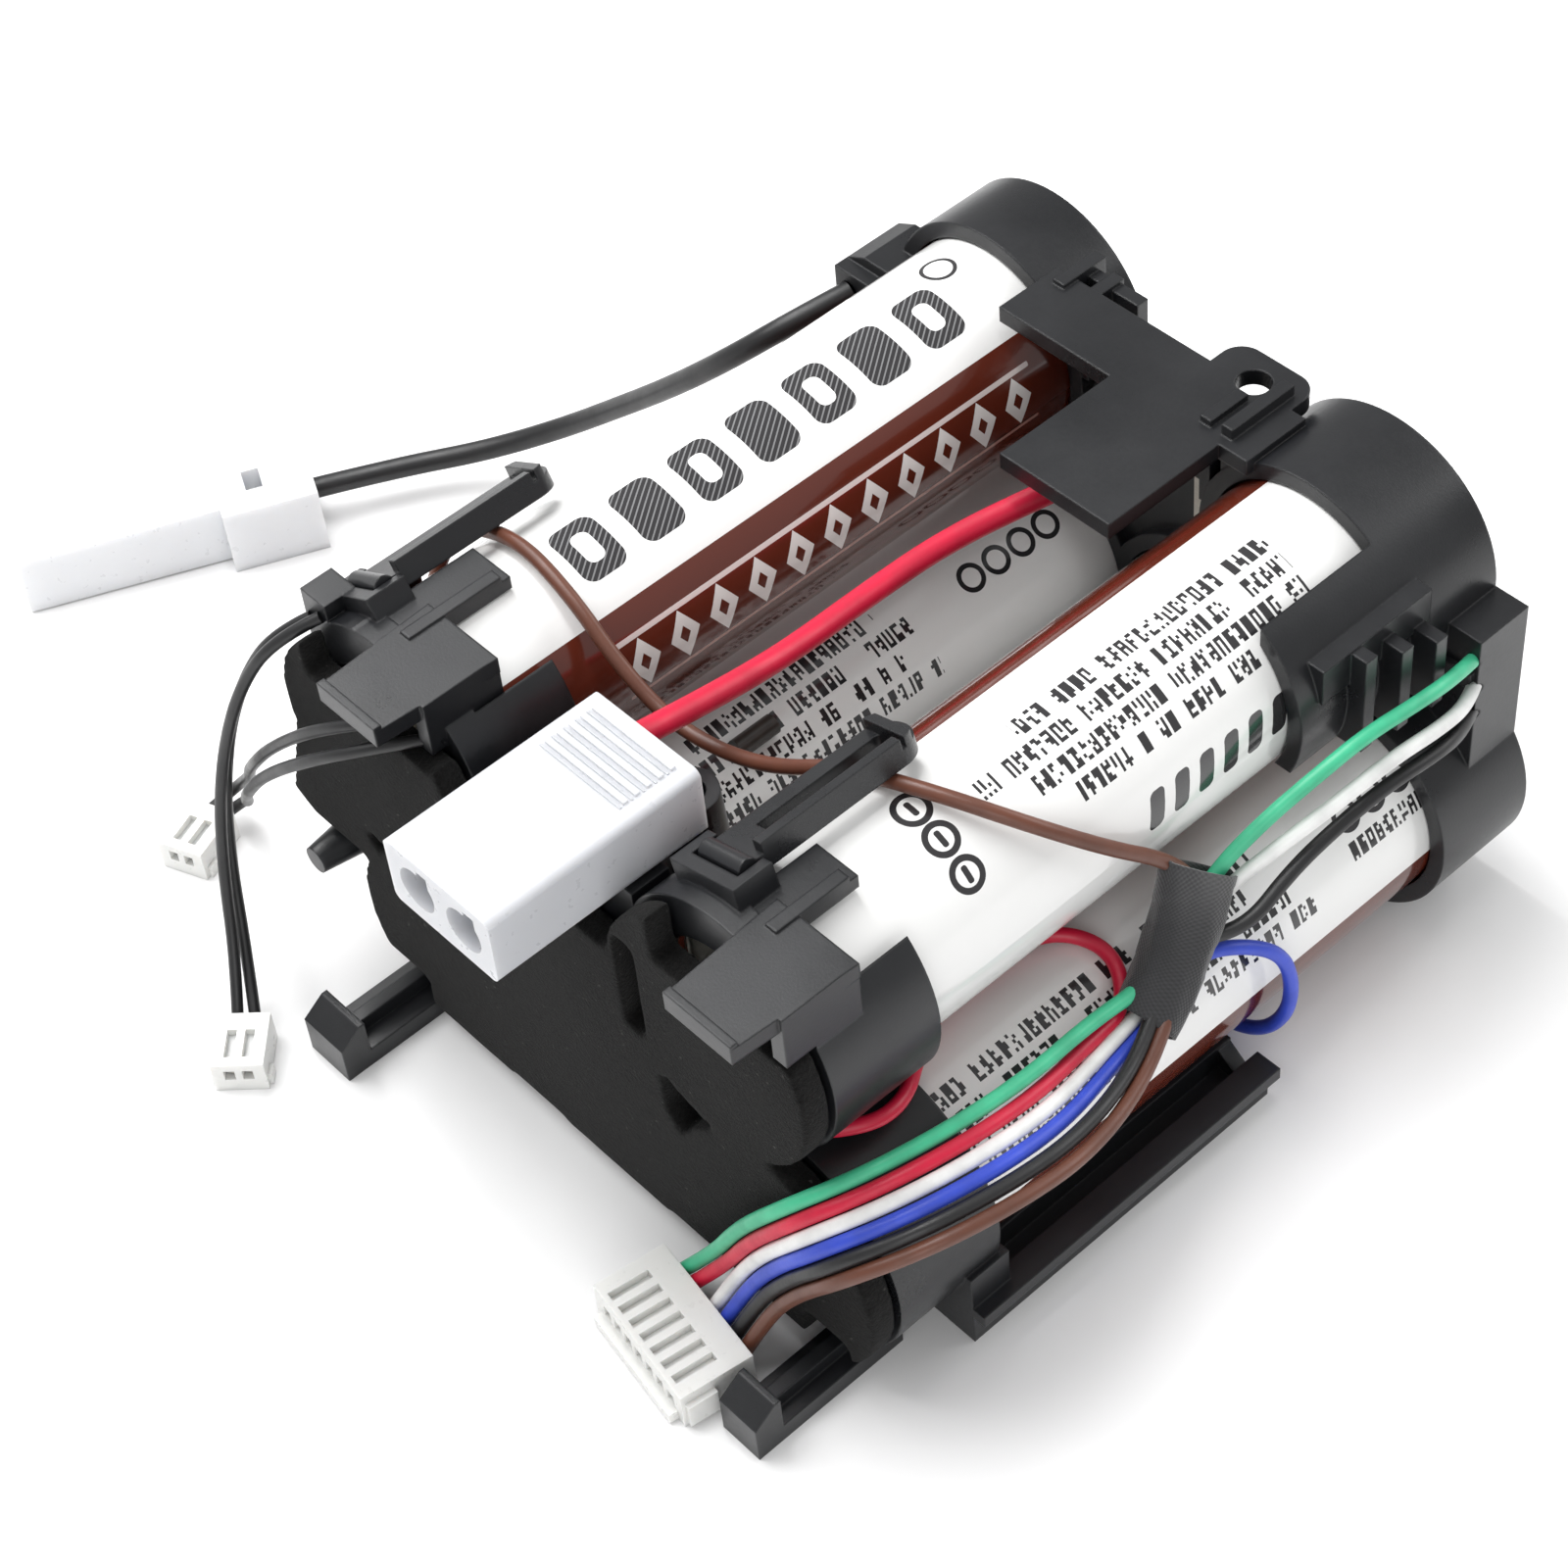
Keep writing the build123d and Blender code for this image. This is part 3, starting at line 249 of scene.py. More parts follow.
TRUNK = [
    ((18.7, -35.98, 1.9), (1.48, -0.235, 0.0), 0.0),
    ((20.6, -34.2, 5.8), (1.45, -0.2, 0.1), 0.0),
    ((24.4, -34.2, 12.8), (1.4, -0.1, -0.1), 0.0),
    ((29.2, -34.0, 19.4), (1.35, 0.0, -0.35), 0.0),
    ((33.2, -29.2, 22.6), (1.3, 0.1, -0.5), 0.0),
    ((34.6, -21.8, 22.2), (1.25, 0.0, -0.6), 0.0),
    ((34.4, -14.2, 20.6), (1.2, 0.0, -0.7), 0.5),
    ((32.6, -6.8, 19.0), (0.95, 0.1, -0.7), 1.3),
    ((31.2, -0.6, 19.2), (0.98, 0.25, -0.65), 1.15),
    ((30.4, 3.4, 21.2), (0.98, 0.4, -0.57), 1.15),
]
LAYER_DIRECTION = (0.55, 0.0, 0.83)
WIRE_SLOTS = {"green": 0, "red": 1, "white": 3, "blue": 4, "black": 5, "brown": 6}
TRUNK_PLACE = {"green": 0, "red": 1, "white": 2, "blue": 3, "black": 4, "brown": 5}
TAPE_PLACE = {"green": (-1, 0.5), "red": (-1, -0.5), "white": (0, -0.5),
              "black": (0, 0.5), "blue": (1, -0.5), "brown": (1, 0.5)}
TRUNK_STOP = {"green": 10, "red": 8, "white": 10, "blue": 10, "black": 10, "brown": 9}

BRANCH = {
    "brown": [(31.6, 3.4, 23.0), (30.2, 4.6, 27.0), (29.3, 2.2, 30.8), (28.0, -2.2, 34.6),
              (25.4, -7.2, 39.2), (19.8, -11.2, 41.6), (12.2, -13.2, 40.1), (6.6, -14.2, 36.4),
              (1.2, -14.9, 34.4), (-4.6, -15.5, 34.2), (-9.6, -15.9, 37.2), (-14.4, -15.7, 40.6),
              (-21.2, -15.1, 41.7), (-28.4, -15.0, 38.4), (-31.8, -16.2, 33.4),
              (-30.4, -19.7, 28.4)],
    "green": [(29.4, 7.6, 25.2), (30.3, 11.8, 28.0), (31.4, 15.9, 30.2), (32.1, 20.6, 31.6),
              (32.6, 25.8, 31.4), (32.2, 30.8, 30.2), (30.8, 35.25, 28.2)],
    "white": [(30.0, 7.8, 23.2), (31.7, 12.4, 26.0), (32.9, 17.0, 27.8), (33.6, 22.2, 29.0),
              (33.8, 27.4, 28.4), (32.9, 31.6, 27.0), (30.8, 35.25, 25.4)],
    "black": [(32.9, 7.2, 21.7), (32.6, 12.2, 23.6), (32.8, 16.9, 24.8), (33.4, 22.0, 26.0),
              (33.7, 27.4, 25.5), (32.8, 31.5, 24.1), (30.8, 35.25, 22.6)],
    "blue": [(32.4, 7.2, 19.2), (33.8, 10.1, 17.0), (34.1, 11.3, 12.8), (33.7, 11.4, 8.3),
             (31.5, 11.2, 4.3), (27.4, 11.4, 1.6), (22.6, 12.4, 0.8), (17.4, 15.4, 1.3),
             (13.9, 20.6, 2.8), (13.3, 27.4, 3.6), (13.3, 33.95, 3.8)],
    "red": [(30.3, -3.0, 19.1), (26.6, -0.4, 20.5), (22.4, -2.6, 21.3), (21.0, -8.0, 21.3),
            (21.6, -13.5, 21.4), (24.4, -18.5, 22.4), (27.4, -22.5, 23.6), (27.4, -26.4, 24.2),
            (24.9, -28.9, 24.0)],
}

PROBE_ROUTES = {
    "probe_wire_1a": [(-28.7, -29.75, 39.0), (-30.8, -32.2, 37.4), (-33.4, -34.0, 32.6),
                      (-35.8, -35.4, 26.0), (-37.0, -36.8, 18.6), (-36.4, -38.4, 11.2),
                      (-33.4, -40.6, 5.2), (-28.9, -43.65, 1.9)],
    "probe_wire_1b": [(-27.3, -29.75, 39.9), (-29.6, -33.0, 38.2), (-32.2, -35.4, 33.0),
                      (-34.4, -37.0, 26.0), (-35.5, -38.4, 18.8), (-35.0, -40.0, 11.6),
                      (-32.8, -42.0, 5.6), (-29.9, -44.75, 1.9)],
    "probe_wire_2a": [(-14.4, -29.75, 38.6), (-18.0, -33.2, 37.8), (-23.4, -35.2, 34.4),
                      (-29.6, -35.6, 28.2), (-36.0, -34.4, 20.4), (-42.4, -31.8, 12.6),
                      (-47.2, -29.6, 6.6), (-50.4, -29.4, 2.8), (-50.6, -32.75, 1.9)],
    "probe_wire_2b": [(-13.0, -29.75, 37.4), (-17.2, -34.0, 36.2), (-22.8, -36.6, 32.6),
                      (-29.2, -37.0, 26.4), (-35.4, -35.8, 18.6), (-41.4, -33.2, 11.0),
                      (-45.8, -31.0, 5.6), (-48.6, -30.0, 2.8), (-49.2, -32.25, 1.9)],
}


def step_from(a, b, scale=1.0):
    return tuple(p + q * scale for p, q in zip(a, b))


def trunk_points(colour):
    """Stations of one sense wire from its connector to the top of the tape."""
    points = []
    for number, (centre, across, layer) in enumerate(TRUNK[:TRUNK_STOP[colour]]):
        step = WIRE_SLOTS[colour] - 3 if number == 0 else TRUNK_PLACE[colour] - 2.5
        if number > 7:
            step = TAPE_PLACE[colour][0]
        point = step_from(centre, across, step)
        points.append(step_from(point, LAYER_DIRECTION, layer * TAPE_PLACE[colour][1]))
    return points


# %% [markdown]
# Wire insulation is smooth soft plastic: an even colour that is a little duller in patches,
# a low sheen, and very slight unevenness from the extruder.


# %% Insulation finishes and the leads
def insulation(name, colour, roughness=0.36):
    finish = Finish("insulation_" + name, Roughness=roughness)
    patches = finish.ramp(finish.noise(0.35, 4), [(0.35, 0.0), (0.7, 1.0)])
    darker = tuple(c * 0.78 for c in colour)
    finish.feed("Base Color", mix(patches, colour, darker))
    finish.feed("Roughness", patches * 0.12 + roughness)
    finish.bump(finish.noise(1.6, 2), 0.03, 0.5)
    return finish.material


INSULATION = {
    "black": insulation("black", (0.014, 0.014, 0.015)),
    "red": insulation("red", (0.62, 0.008, 0.045)),
    "green": insulation("green", (0.055, 0.50, 0.27)),
    "white": insulation("white", (0.82, 0.82, 0.81)),
    "blue": insulation("blue", (0.035, 0.075, 0.58)),
    "brown": insulation("brown", (0.13, 0.045, 0.026)),
}


def lead(name, route, radius, colour):
    """A round wire on one smooth curve along its route, in place of its CAD tube.

    The bevel is one unit deep and each point carries the wire's radius, which keeps the curve's
    bounds true.
    """
    curve = bpy.data.curves.new(name + "_wire", "CURVE")
    curve.dimensions = "3D"
    spline = curve.splines.new("NURBS")
    spline.points.add(len(route) - 1)
    for point, place in zip(spline.points, route):
        point.co = (place[0] * MM, place[1] * MM, place[2] * MM, 1.0)
        point.radius = radius * MM
    spline.order_u = 3
    spline.use_endpoint_u = True
    spline.resolution_u = 10
    curve.bevel_depth = 1.0
    curve.bevel_resolution = 5
    curve.use_fill_caps = True
    made = bpy.data.objects.new(name + "_wire", curve)
    bpy.context.scene.collection.objects.link(made)
    curve.materials.append(INSULATION[colour])
    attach(made, "pack")
    "insulation_" + colour
    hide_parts(name)
    return made


def line_length(made):
    """Length of a curve's own line, without its bevel."""
    depth = made.data.bevel_depth
    made.data.bevel_depth = 0.0
    bpy.context.view_layer.update()
    plain = bpy.data.meshes.new_from_object(made.evaluated_get(bpy.context.evaluated_depsgraph_get()))
    made.data.bevel_depth = depth
    spots = [v.co.copy() for v in plain.vertices]
    bpy.data.meshes.remove(plain)
    return sum((b - a).length for a, b in zip(spots, spots[1:]))


def declare(made, route):
    length = line_length(made)
    exit_point = [c * MM for c in route[0]]
    print(made.name, "length", round(length * 1000, 1), "mm")


SENSE_ROUTES = {c: list(reversed(trunk_points(c) + BRANCH[c])) for c in WIRE_SLOTS}
wires = {"black_lead": lead("black_lead", BLACK_ROUTE, 1.0, "black"),
         "red_lead": lead("red_lead", RED_ROUTE, 1.0, "red")}
for colour, route in SENSE_ROUTES.items():
    name = "sense_wire_" + colour
    wires[name] = lead(name, route, 0.6, colour)
for name, route in PROBE_ROUTES.items():
    wires[name] = lead(name, route, 0.5, "black")
print("made", len(wires), "leads")

# %% [markdown]
# Moulded black plastic: charcoal, satin, with the fine grain of a textured mould. Its edges are
# softened in the shading, so that they catch a thin line of light as real moulded edges do.


# %% Moulded plastic
def moulded(name, colour, roughness, grain, edge):
    finish = Finish(name, Roughness=roughness)
    cloudy = finish.ramp(finish.noise(0.09, 4), [(0.3, 0.0), (0.75, 1.0)])
    lighter = tuple(c * 1.3 + 0.002 for c in colour)
    finish.feed("Base Color", mix(cloudy, colour, lighter))
    finish.feed("Roughness", cloudy * 0.14 + finish.noise(2.5, 4) * 0.10 + (roughness - 0.08))
    finish.bump(finish.noise(grain, 2), 0.02, 0.35, edge)
    return finish.material


holder_plastic = moulded("holder_plastic", (0.0085, 0.009, 0.0105), 0.30, 5.0, 0.25)
latch_plastic = moulded("latch_plastic", (0.010, 0.0105, 0.012), 0.27, 4.0, 0.2)
for name in ("near_holder", "far_holder"):
    wear(name, holder_plastic)
for name in ("snap_loop_left", "snap_loop_right"):
    wear(name, latch_plastic)

# %% [markdown]
# Nylon plug bodies are milky: light goes a little way in. A constant amount of subsurface
# scattering and a little transmission give that without changing over the surface.


# %% Nylon plug bodies
def nylon(name, colour, clear, depth):
    finish = Finish(name, Roughness=0.3)
    finish.shader.inputs["Subsurface Weight"].default_value = 0.6
    finish.shader.inputs["Subsurface Radius"].default_value = (1.0, 0.95, 0.9)
    finish.shader.inputs["Subsurface Scale"].default_value = depth * MM
    finish.shader.inputs["Transmission Weight"].default_value = clear
    cloudy = finish.noise(0.25, 3)
    finish.feed("Base Color", mix(cloudy, colour, tuple(c * 0.93 for c in colour)))
    finish.feed("Roughness", finish.noise(1.2, 3) * 0.16 + 0.22)
    finish.bump(finish.noise(1.4, 2), 0.03, 0.3)
    return finish.material


wear("single_pole_housing", nylon("nylon_clear", (0.84, 0.85, 0.87), 0.08, 1.2))
wear("two_pole_housing", nylon("nylon_milky", (0.66, 0.67, 0.70), 0.06, 1.5))
nylon_white = nylon("nylon_white", (0.78, 0.78, 0.76), 0.0, 0.5)
for name in ("seven_way_connector", "probe_plug_1", "probe_plug_2"):
    wear(name, nylon_white)

# %% [markdown]
# Metals: tinned terminals and nickel strip are rolled, so fine lines run one way in them.
# The cans are drawn steel with nickel plating. The rings are pressed white fibre.


# %% Metals and small pieces
def rolled(name, colour, roughness, stretch):
    finish = Finish(name, Metallic=1.0, Roughness=roughness)
    drawn = node(finish.tree, "ShaderNodeMapping", None,
                 {"Vector": finish.place, "Scale": stretch})
    lines = finish.noise(1.0, 4, 0.6, drawn)
    finish.feed("Base Color", mix(lines, colour, tuple(c * 0.8 for c in colour)))
    finish.feed("Roughness", lines * 0.2 + roughness)
    finish.bump(lines, 0.01, 0.3)
    return finish.material


tin = rolled("tinned_terminal", (0.72, 0.71, 0.69), 0.28, (9.0, 1.2, 9.0))
nickel = rolled("nickel_strip", (0.68, 0.64, 0.57), 0.25, (0.5, 6.0, 6.0))
can_steel = rolled("cell_can", (0.66, 0.65, 0.62), 0.22, (4.0, 0.3, 4.0))
for name in ("single_pole_contact", "two_pole_contact", "seven_way_terminals", "probe_terminals"):
    wear(name, tin)
for name in sorted(nodes):
    if "strip" in name:
        wear(name, nickel)
    if name.startswith("cell_"):
        wear(name, can_steel)

fibre = Finish("insulating_board", Roughness=0.85)
threads = fibre.noise(6.0, 5)
fibre.feed("Base Color", mix(threads, (0.82, 0.80, 0.74), (0.66, 0.63, 0.56)))
fibre.bump(threads, 0.03)
wear("button_rings", fibre.material)

resin = Finish("bead_resin", Roughness=0.3)
swirl = resin.noise(0.8, 4)
resin.feed("Base Color", mix(swirl, (0.02, 0.017, 0.015), (0.05, 0.04, 0.035)))
resin.bump(swirl, 0.05)
wear("thermistors", resin.material)
print("plastics and metals ready")

# %% [markdown]
# Each cell wears a printed shrink sleeve: one white band and one brown band, with print on both.
# The print is worked out on the sleeve itself, from the angle round the cell and the distance
# along it, so nothing is painted by hand. Words are stood for by plain blocks and by specks
# on a grid of small letters, which spell nothing.

# %% Sleeve print helpers
SLEEVE_R = 9.19
WHITE = (0.83, 0.83, 0.82)
BROWN = (0.105, 0.019, 0.010)
INK = (0.025, 0.024, 0.026)
LETTER_COLUMNS = 4.0
LETTER_LEVELS = 7.0


class Sleeve(Finish):
    """A sleeve's finish, with around: millimetres round the cell from the white band's middle."""

    def __init__(self, key, axis, centre, half):
        super().__init__("sleeve_film_" + key, Roughness=0.14, IOR=1.5)
        x, self.along, z = self.xyz()
        angle = (x - axis[0]).math("ARCTAN2", z - axis[1])
        middle = math.radians(centre)
        self.around = (angle - middle).math("WRAP", math.pi, -math.pi) * SLEEVE_R
        self.white = abs(self.around) < half * SLEEVE_R * math.pi / 180
        self.colour = mix(self.white, BROWN, WHITE)

    def paint(self, mask, ink):
        self.colour = mix(mask, self.colour, ink)

    def band(self, value, low, high):
        return (value > low) * (value < high)

    def chance(self, *place):
        """An even random number for a cell of the print's grid."""
        where = node(self.tree, "ShaderNodeCombineXYZ", None, list(place))
        return node(self.tree, "ShaderNodeTexWhiteNoise", {"noise_dimensions": "3D"},
                    {"Vector": where})

    def text_rows(self, near, far, low, high, pitch, letter, seed, flip=1):
        """Rows of specks along the cell that stand for lines of small print."""
        row = ((self.around - low) / pitch).math("FLOOR")
        inside = ((self.around - low) / pitch).math("FRACT")
        step = self.along / letter + row * 7.31
        chance = self.chance(step.math("FLOOR"), row, seed)
        column = (step.math("FRACT") * LETTER_COLUMNS).math("FLOOR")
        level = (inside * LETTER_LEVELS).math("FLOOR")
        bit = self.chance(step.math("FLOOR") * 5.0 + column, row * 9.0 + level, seed + 0.5)
        stem = self.chance(step.math("FLOOR") * 3.0 + column, row, seed + 0.9)
        printed = (bit + (stem > 0.55) * 0.5) > 0.52
        stroke = printed * (column < LETTER_COLUMNS - 1.5)
        height = (level > 0.5) * (level < LETTER_LEVELS - 1.5)
        ends = node(self.tree, "ShaderNodeTexWhiteNoise", {"noise_dimensions": "1D"},
                    {"W": row + seed})
        length = (far - near) * 0.22
        last = self.along < far - ends * length if flip > 0 else self.along > near + ends * length
        rows = self.band(self.around, low, high) * self.band(self.along, near, far)
        word = chance > 0.15
        return rows * last * stroke * height * word

    def block(self, near, around, length, tall, corner=0.35, slant=0.0):
        """One rounded block; near and around are its middle."""
        across = abs(self.around - around) - (tall / 2 - corner)
        along = abs(self.along - near - (self.around - around) * slant) - (length / 2 - corner)
        outside = across.math("MAXIMUM", 0.0).math("POWER", 2.0)
        outside = outside + along.math("MAXIMUM", 0.0).math("POWER", 2.0)
        return outside.math("SQRT") < corner

    def ring(self, near, around, radius, width):
        reach = (self.along - near).math("POWER", 2.0) + (self.around - around).math("POWER", 2.0)
        return abs(reach.math("SQRT") - radius) < width / 2

    def seal(self):
        """Film gloss and a soft crinkle."""
        self.feed("Base Color", self.colour)
        dull = self.ramp(self.noise(0.12, 3), [(0.4, 0.0), (0.8, 1.0)])
        self.feed("Roughness", dull * 0.09 + 0.13)
        pulled = node(self.tree, "ShaderNodeMapping", None,
                      {"Vector": self.place, "Scale": (0.25, 0.05, 0.25)})
        crinkle = self.noise(1.0, 3, 0.5, pulled)
        self.shader.inputs["Coat Weight"].default_value = 0.5
        self.shader.inputs["Coat Roughness"].default_value = 0.05
        self.bump(crinkle, 0.10, 0.5)
        return self.material


# %% [markdown]
# The big row on the first cell is a hatched charge gauge: blocks of the same height and spacing
# as large print would have. On its brown band runs a white ornament of diamonds and short bars.

# %% Print on each sleeve
AXES = {"1": (-20.35, 30.99), "2": (17.85, 30.99), "3": (-15.35, 10.99),
        "4": (3.75, 10.99), "5": (22.85, 10.99)}


def hatched(sleeve, mask):
    """Ink laid as fine slanted lines, as on the large print."""
    lines = ((sleeve.along * 1.2 + sleeve.around * 1.7) * 1.1).math("FRACT")
    return mix(lines > 0.72, INK, (0.20, 0.20, 0.205)), mask


sleeve = Sleeve("1", AXES["1"], 0.0, 46.0)
for number in range(7):
    at = -11.0 + number * 6.0
    tone, mask = hatched(sleeve, sleeve.block(at, 2.1, 4.2, 5.6, 1.1))
    sleeve.paint(mask, tone)
    if number % 2 == 0:
        sleeve.paint(sleeve.block(at, 2.1, 1.7, 3.0, 0.7), WHITE)
for number in range(11):
    at = -12.0 + number * 4.0
    reach = abs(sleeve.along - at) * 1.5 + abs(sleeve.around - 12.4)
    sleeve.paint(reach < 2.2, (0.78, 0.76, 0.74))
    sleeve.paint(reach < 0.8, BROWN)
# The two long pink lines along the brown band are painted highlights: the film's gloss laid into its
# colour as thin pale stripes.
sleeve.paint(sleeve.block(8.0, 9.9, 44.0, 0.45, 0.15), (0.70, 0.62, 0.60))
sleeve.paint(sleeve.block(8.0, 14.9, 44.0, 0.30, 0.12), (0.45, 0.25, 0.21))
sleeve.paint(sleeve.ring(29.5, -1.5, 1.4, 0.35), INK)
sleeve_finishes = {"1": sleeve.seal()}

sleeve = Sleeve("2", AXES["2"], 52.0, 77.0)
sleeve.paint(sleeve.text_rows(-8.0, 24.0, -8.6, 0.2, 2.2, 0.95, 3.0, -1), INK)
for number in range(8):
    sleeve.paint(sleeve.block(4.0 + number * 2.6, 4.2, 1.5, 3.2, 0.5, -0.22), INK)
for number, radius in enumerate((1.2, 1.2, 1.3)):
    sleeve.paint(sleeve.ring(-12.5, -1.2 - number * 3.1, radius, 0.5), INK)
    sleeve.paint(sleeve.block(-12.5, -1.2 - number * 3.1, 0.5, 1.4, 0.2), INK)
sleeve_finishes["2"] = sleeve.seal()

sleeve = Sleeve("5", AXES["5"], 8.0, 82.0)
sleeve.paint(sleeve.text_rows(-19.0, 18.0, 1.6, 10.4, 2.2, 0.95, 9.0), INK)
for number in range(4):
    sleeve.paint(sleeve.ring(23.0 + number * 2.9, 5.2, 1.1, 0.45), INK)
    sleeve.paint(sleeve.block(23.0 + number * 2.9, 5.2, 1.0, 0.45, 0.15), INK)
sleeve.paint(sleeve.text_rows(21.8, 33.0, 6.8, 9.0, 2.2, 0.95, 5.0), INK)
sleeve_finishes["5"] = sleeve.seal()

sleeve = Sleeve("3", AXES["3"], 40.0, 80.0)
sleeve.paint(sleeve.text_rows(-14.0, 18.0, -4.4, 4.4, 2.2, 0.95, 6.0), INK)
for number in range(4):
    sleeve.paint(sleeve.ring(21.0 + number * 2.9, -1.2, 1.1, 0.45), INK)
sleeve_finishes["3"] = sleeve.seal()

sleeve = Sleeve("4", AXES["4"], -35.0, 80.0)
sleeve.paint(sleeve.text_rows(-14.0, 22.0, -1.0, 7.8, 2.2, 0.95, 12.0), INK)
sleeve_finishes["4"] = sleeve.seal()

for key, material in sleeve_finishes.items():
    wear("sleeve_" + key, material)
print("sleeves printed:", ", ".join(sorted(sleeve_finishes)))

# %% [markdown]
# The pad on the near face and the discs behind the far ends are felted foam. The CAD pieces are
# plain, so each is remeshed finely, its rim is rounded by smoothing, and its face is lifted and
# dented a little. A simulation would change nothing here, as the foam lies flat and is glued.


# %% Felted foam
def felt_material():
    finish = Finish("felt_foam", Roughness=0.95)
    finish.shader.inputs["Sheen Weight"].default_value = 0.06
    finish.shader.inputs["Sheen Roughness"].default_value = 0.5
    finish.shader.inputs["Specular IOR Level"].default_value = 0.1
    fibres = finish.noise(3.2, 6, 0.7)
    flecks = finish.ramp(finish.noise(1.6, 2), [(0.70, 0.0), (0.74, 1.0)])
    dark = mix(finish.ramp(fibres, [(0.3, 0.0), (0.8, 1.0)]), (0.0025, 0.0025, 0.0025),
               (0.013, 0.0125, 0.012))
    finish.feed("Base Color", mix(flecks, dark, (0.05, 0.047, 0.045)))
    finish.bump(fibres, 0.25, 0.9)
    return finish.material


def soft_copy(name, voxel, rounds, lift):
    """A fine, round-edged copy of a CAD foam piece."""
    mesh = nodes[name].data.copy()
    body = bmesh.new()
    body.from_mesh(mesh)
    bmesh.ops.remove_doubles(body, verts=body.verts, dist=0.01 * MM)
    body.to_mesh(mesh)
    body.free()
    made = bpy.data.objects.new(name + "_soft", mesh)
    bpy.context.scene.collection.objects.link(made)
    remesh = made.modifiers.new("remesh", "REMESH")
    remesh.mode = "VOXEL"
    remesh.voxel_size = voxel * MM
    remesh.use_smooth_shade = True
    smooth = made.modifiers.new("smooth", "SMOOTH")
    smooth.factor = 0.5
    smooth.iterations = rounds
    bpy.context.view_layer.update()
    plain = bpy.data.meshes.new_from_object(made.evaluated_get(bpy.context.evaluated_depsgraph_get()))
    made.modifiers.clear()
    made.data = plain
    for vertex in plain.vertices:
        sway = noise.noise(vertex.co * 180.0) + 0.5 * noise.noise(vertex.co * 520.0)
        vertex.co += vertex.normal * sway * lift * MM
    plain.materials.clear()
    plain.materials.append(felt)
    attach(made, "pack")
    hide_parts(name)
    print(made.name, len(plain.polygons), "faces")
    return made


felt = felt_material()
foam_pad = soft_copy("near_foam_pad", 0.42, 4, 0.03)
far_discs = soft_copy("far_foam_pads", 0.5, 2, 0.02)

# %% [markdown]
# Cloth tape holds the harness together beside the right-hand cells. It is a thin sheet wound
# round the wires, so it is a ring of points carried along the tape's middle line, and Solidify
# gives it its thickness. The ring is a rounded box at the lower end and opens into a wide, thin
# mouth where the wires part. Its weave follows its own UV map.

# %% Cloth tape
TAPE_LINE = [step_from(TRUNK[8][0], step_from(TRUNK[8][0], TRUNK[9][0], -1.0), 0.5),
             TRUNK[9][0], (29.6, 5.3, 27.6)]
TAPE_MOUTH = (Vector((0.03, 0.70, -0.71)), Vector((0.97, 0.08, 0.20)))
TAPE_HALF = (2.65, 1.95)
MOUTH_HALF = (4.9, 1.6)
MOUTH_START = 0.42
TAPE_SIDES = 64
TAPE_STEPS = 44


def rounded(value):
    """Turns a circle's sine or cosine into that of a round-cornered box."""
    return math.copysign(abs(value) ** 0.72, value)


def tape_mesh():
    a, b, c = (Vector(p) * MM for p in TAPE_LINE)
    mesh = bpy.data.meshes.new("harness_tape_cloth")
    body = bmesh.new()
    weave = body.loops.layers.uv.new("weave")
    rings = []
    for i in range(TAPE_STEPS + 1):
        t = i / TAPE_STEPS
        middle = a * (1 - t) ** 2 + b * 2 * t * (1 - t) + c * t * t
        ahead = ((b - a) * (1 - t) + (c - b) * t).normalized()
        side = ahead.cross(Vector(LAYER_DIRECTION)).normalized()
        out = side.cross(ahead)
        open_up = max(0.0, (t - MOUTH_START) / (1 - MOUTH_START)) ** 1.6
        wide = side * TAPE_HALF[0] * (1 - open_up) + TAPE_MOUTH[0] * MOUTH_HALF[0] * open_up
        thick = out * TAPE_HALF[1] * (1 - open_up) + TAPE_MOUTH[1] * MOUTH_HALF[1] * open_up
        ring = []
        for j in range(TAPE_SIDES):
            turn = 2 * math.pi * j / TAPE_SIDES
            pinch = 1 - 0.30 * open_up * math.cos(turn) ** 2 * abs(math.sin(turn))
            winding = 0.06 * math.floor(((t * 2.6 + j / TAPE_SIDES) % 1.0) * 2)
            crease = 0.05 * math.sin(3 * turn + 7 * t) + 0.03 * math.sin(8 * turn - 13 * t)
            reach = 1 + (crease + winding) / 2.2
            spot = wide * rounded(math.cos(turn)) + thick * rounded(math.sin(turn)) * pinch
            ring.append(body.verts.new(middle + spot * reach * MM))
        rings.append(ring)
    for i in range(TAPE_STEPS):
        for j in range(TAPE_SIDES):
            k = (j + 1) % TAPE_SIDES
            face = body.faces.new((rings[i][j], rings[i][k], rings[i + 1][k], rings[i + 1][j]))
            face.smooth = True
            spots = [(j, i), (j + 1, i), (j + 1, i + 1), (j, i + 1)]
            for loop, (u, v) in zip(face.loops, spots):
                loop[weave].uv = (u / TAPE_SIDES * 16.0, v / TAPE_STEPS * 13.0)
    bmesh.ops.recalc_face_normals(body, faces=body.faces)
    print("tape area", round(sum(f.calc_area() for f in body.faces) * 1e6), "mm2")
    body.to_mesh(mesh)
    body.free()
    return mesh


tape = bpy.data.objects.new("harness_tape_cloth", tape_mesh())
bpy.context.scene.collection.objects.link(tape)
wall = tape.modifiers.new("thickness", "SOLIDIFY")
wall.thickness = 0.22 * MM
wall.offset = -1.0

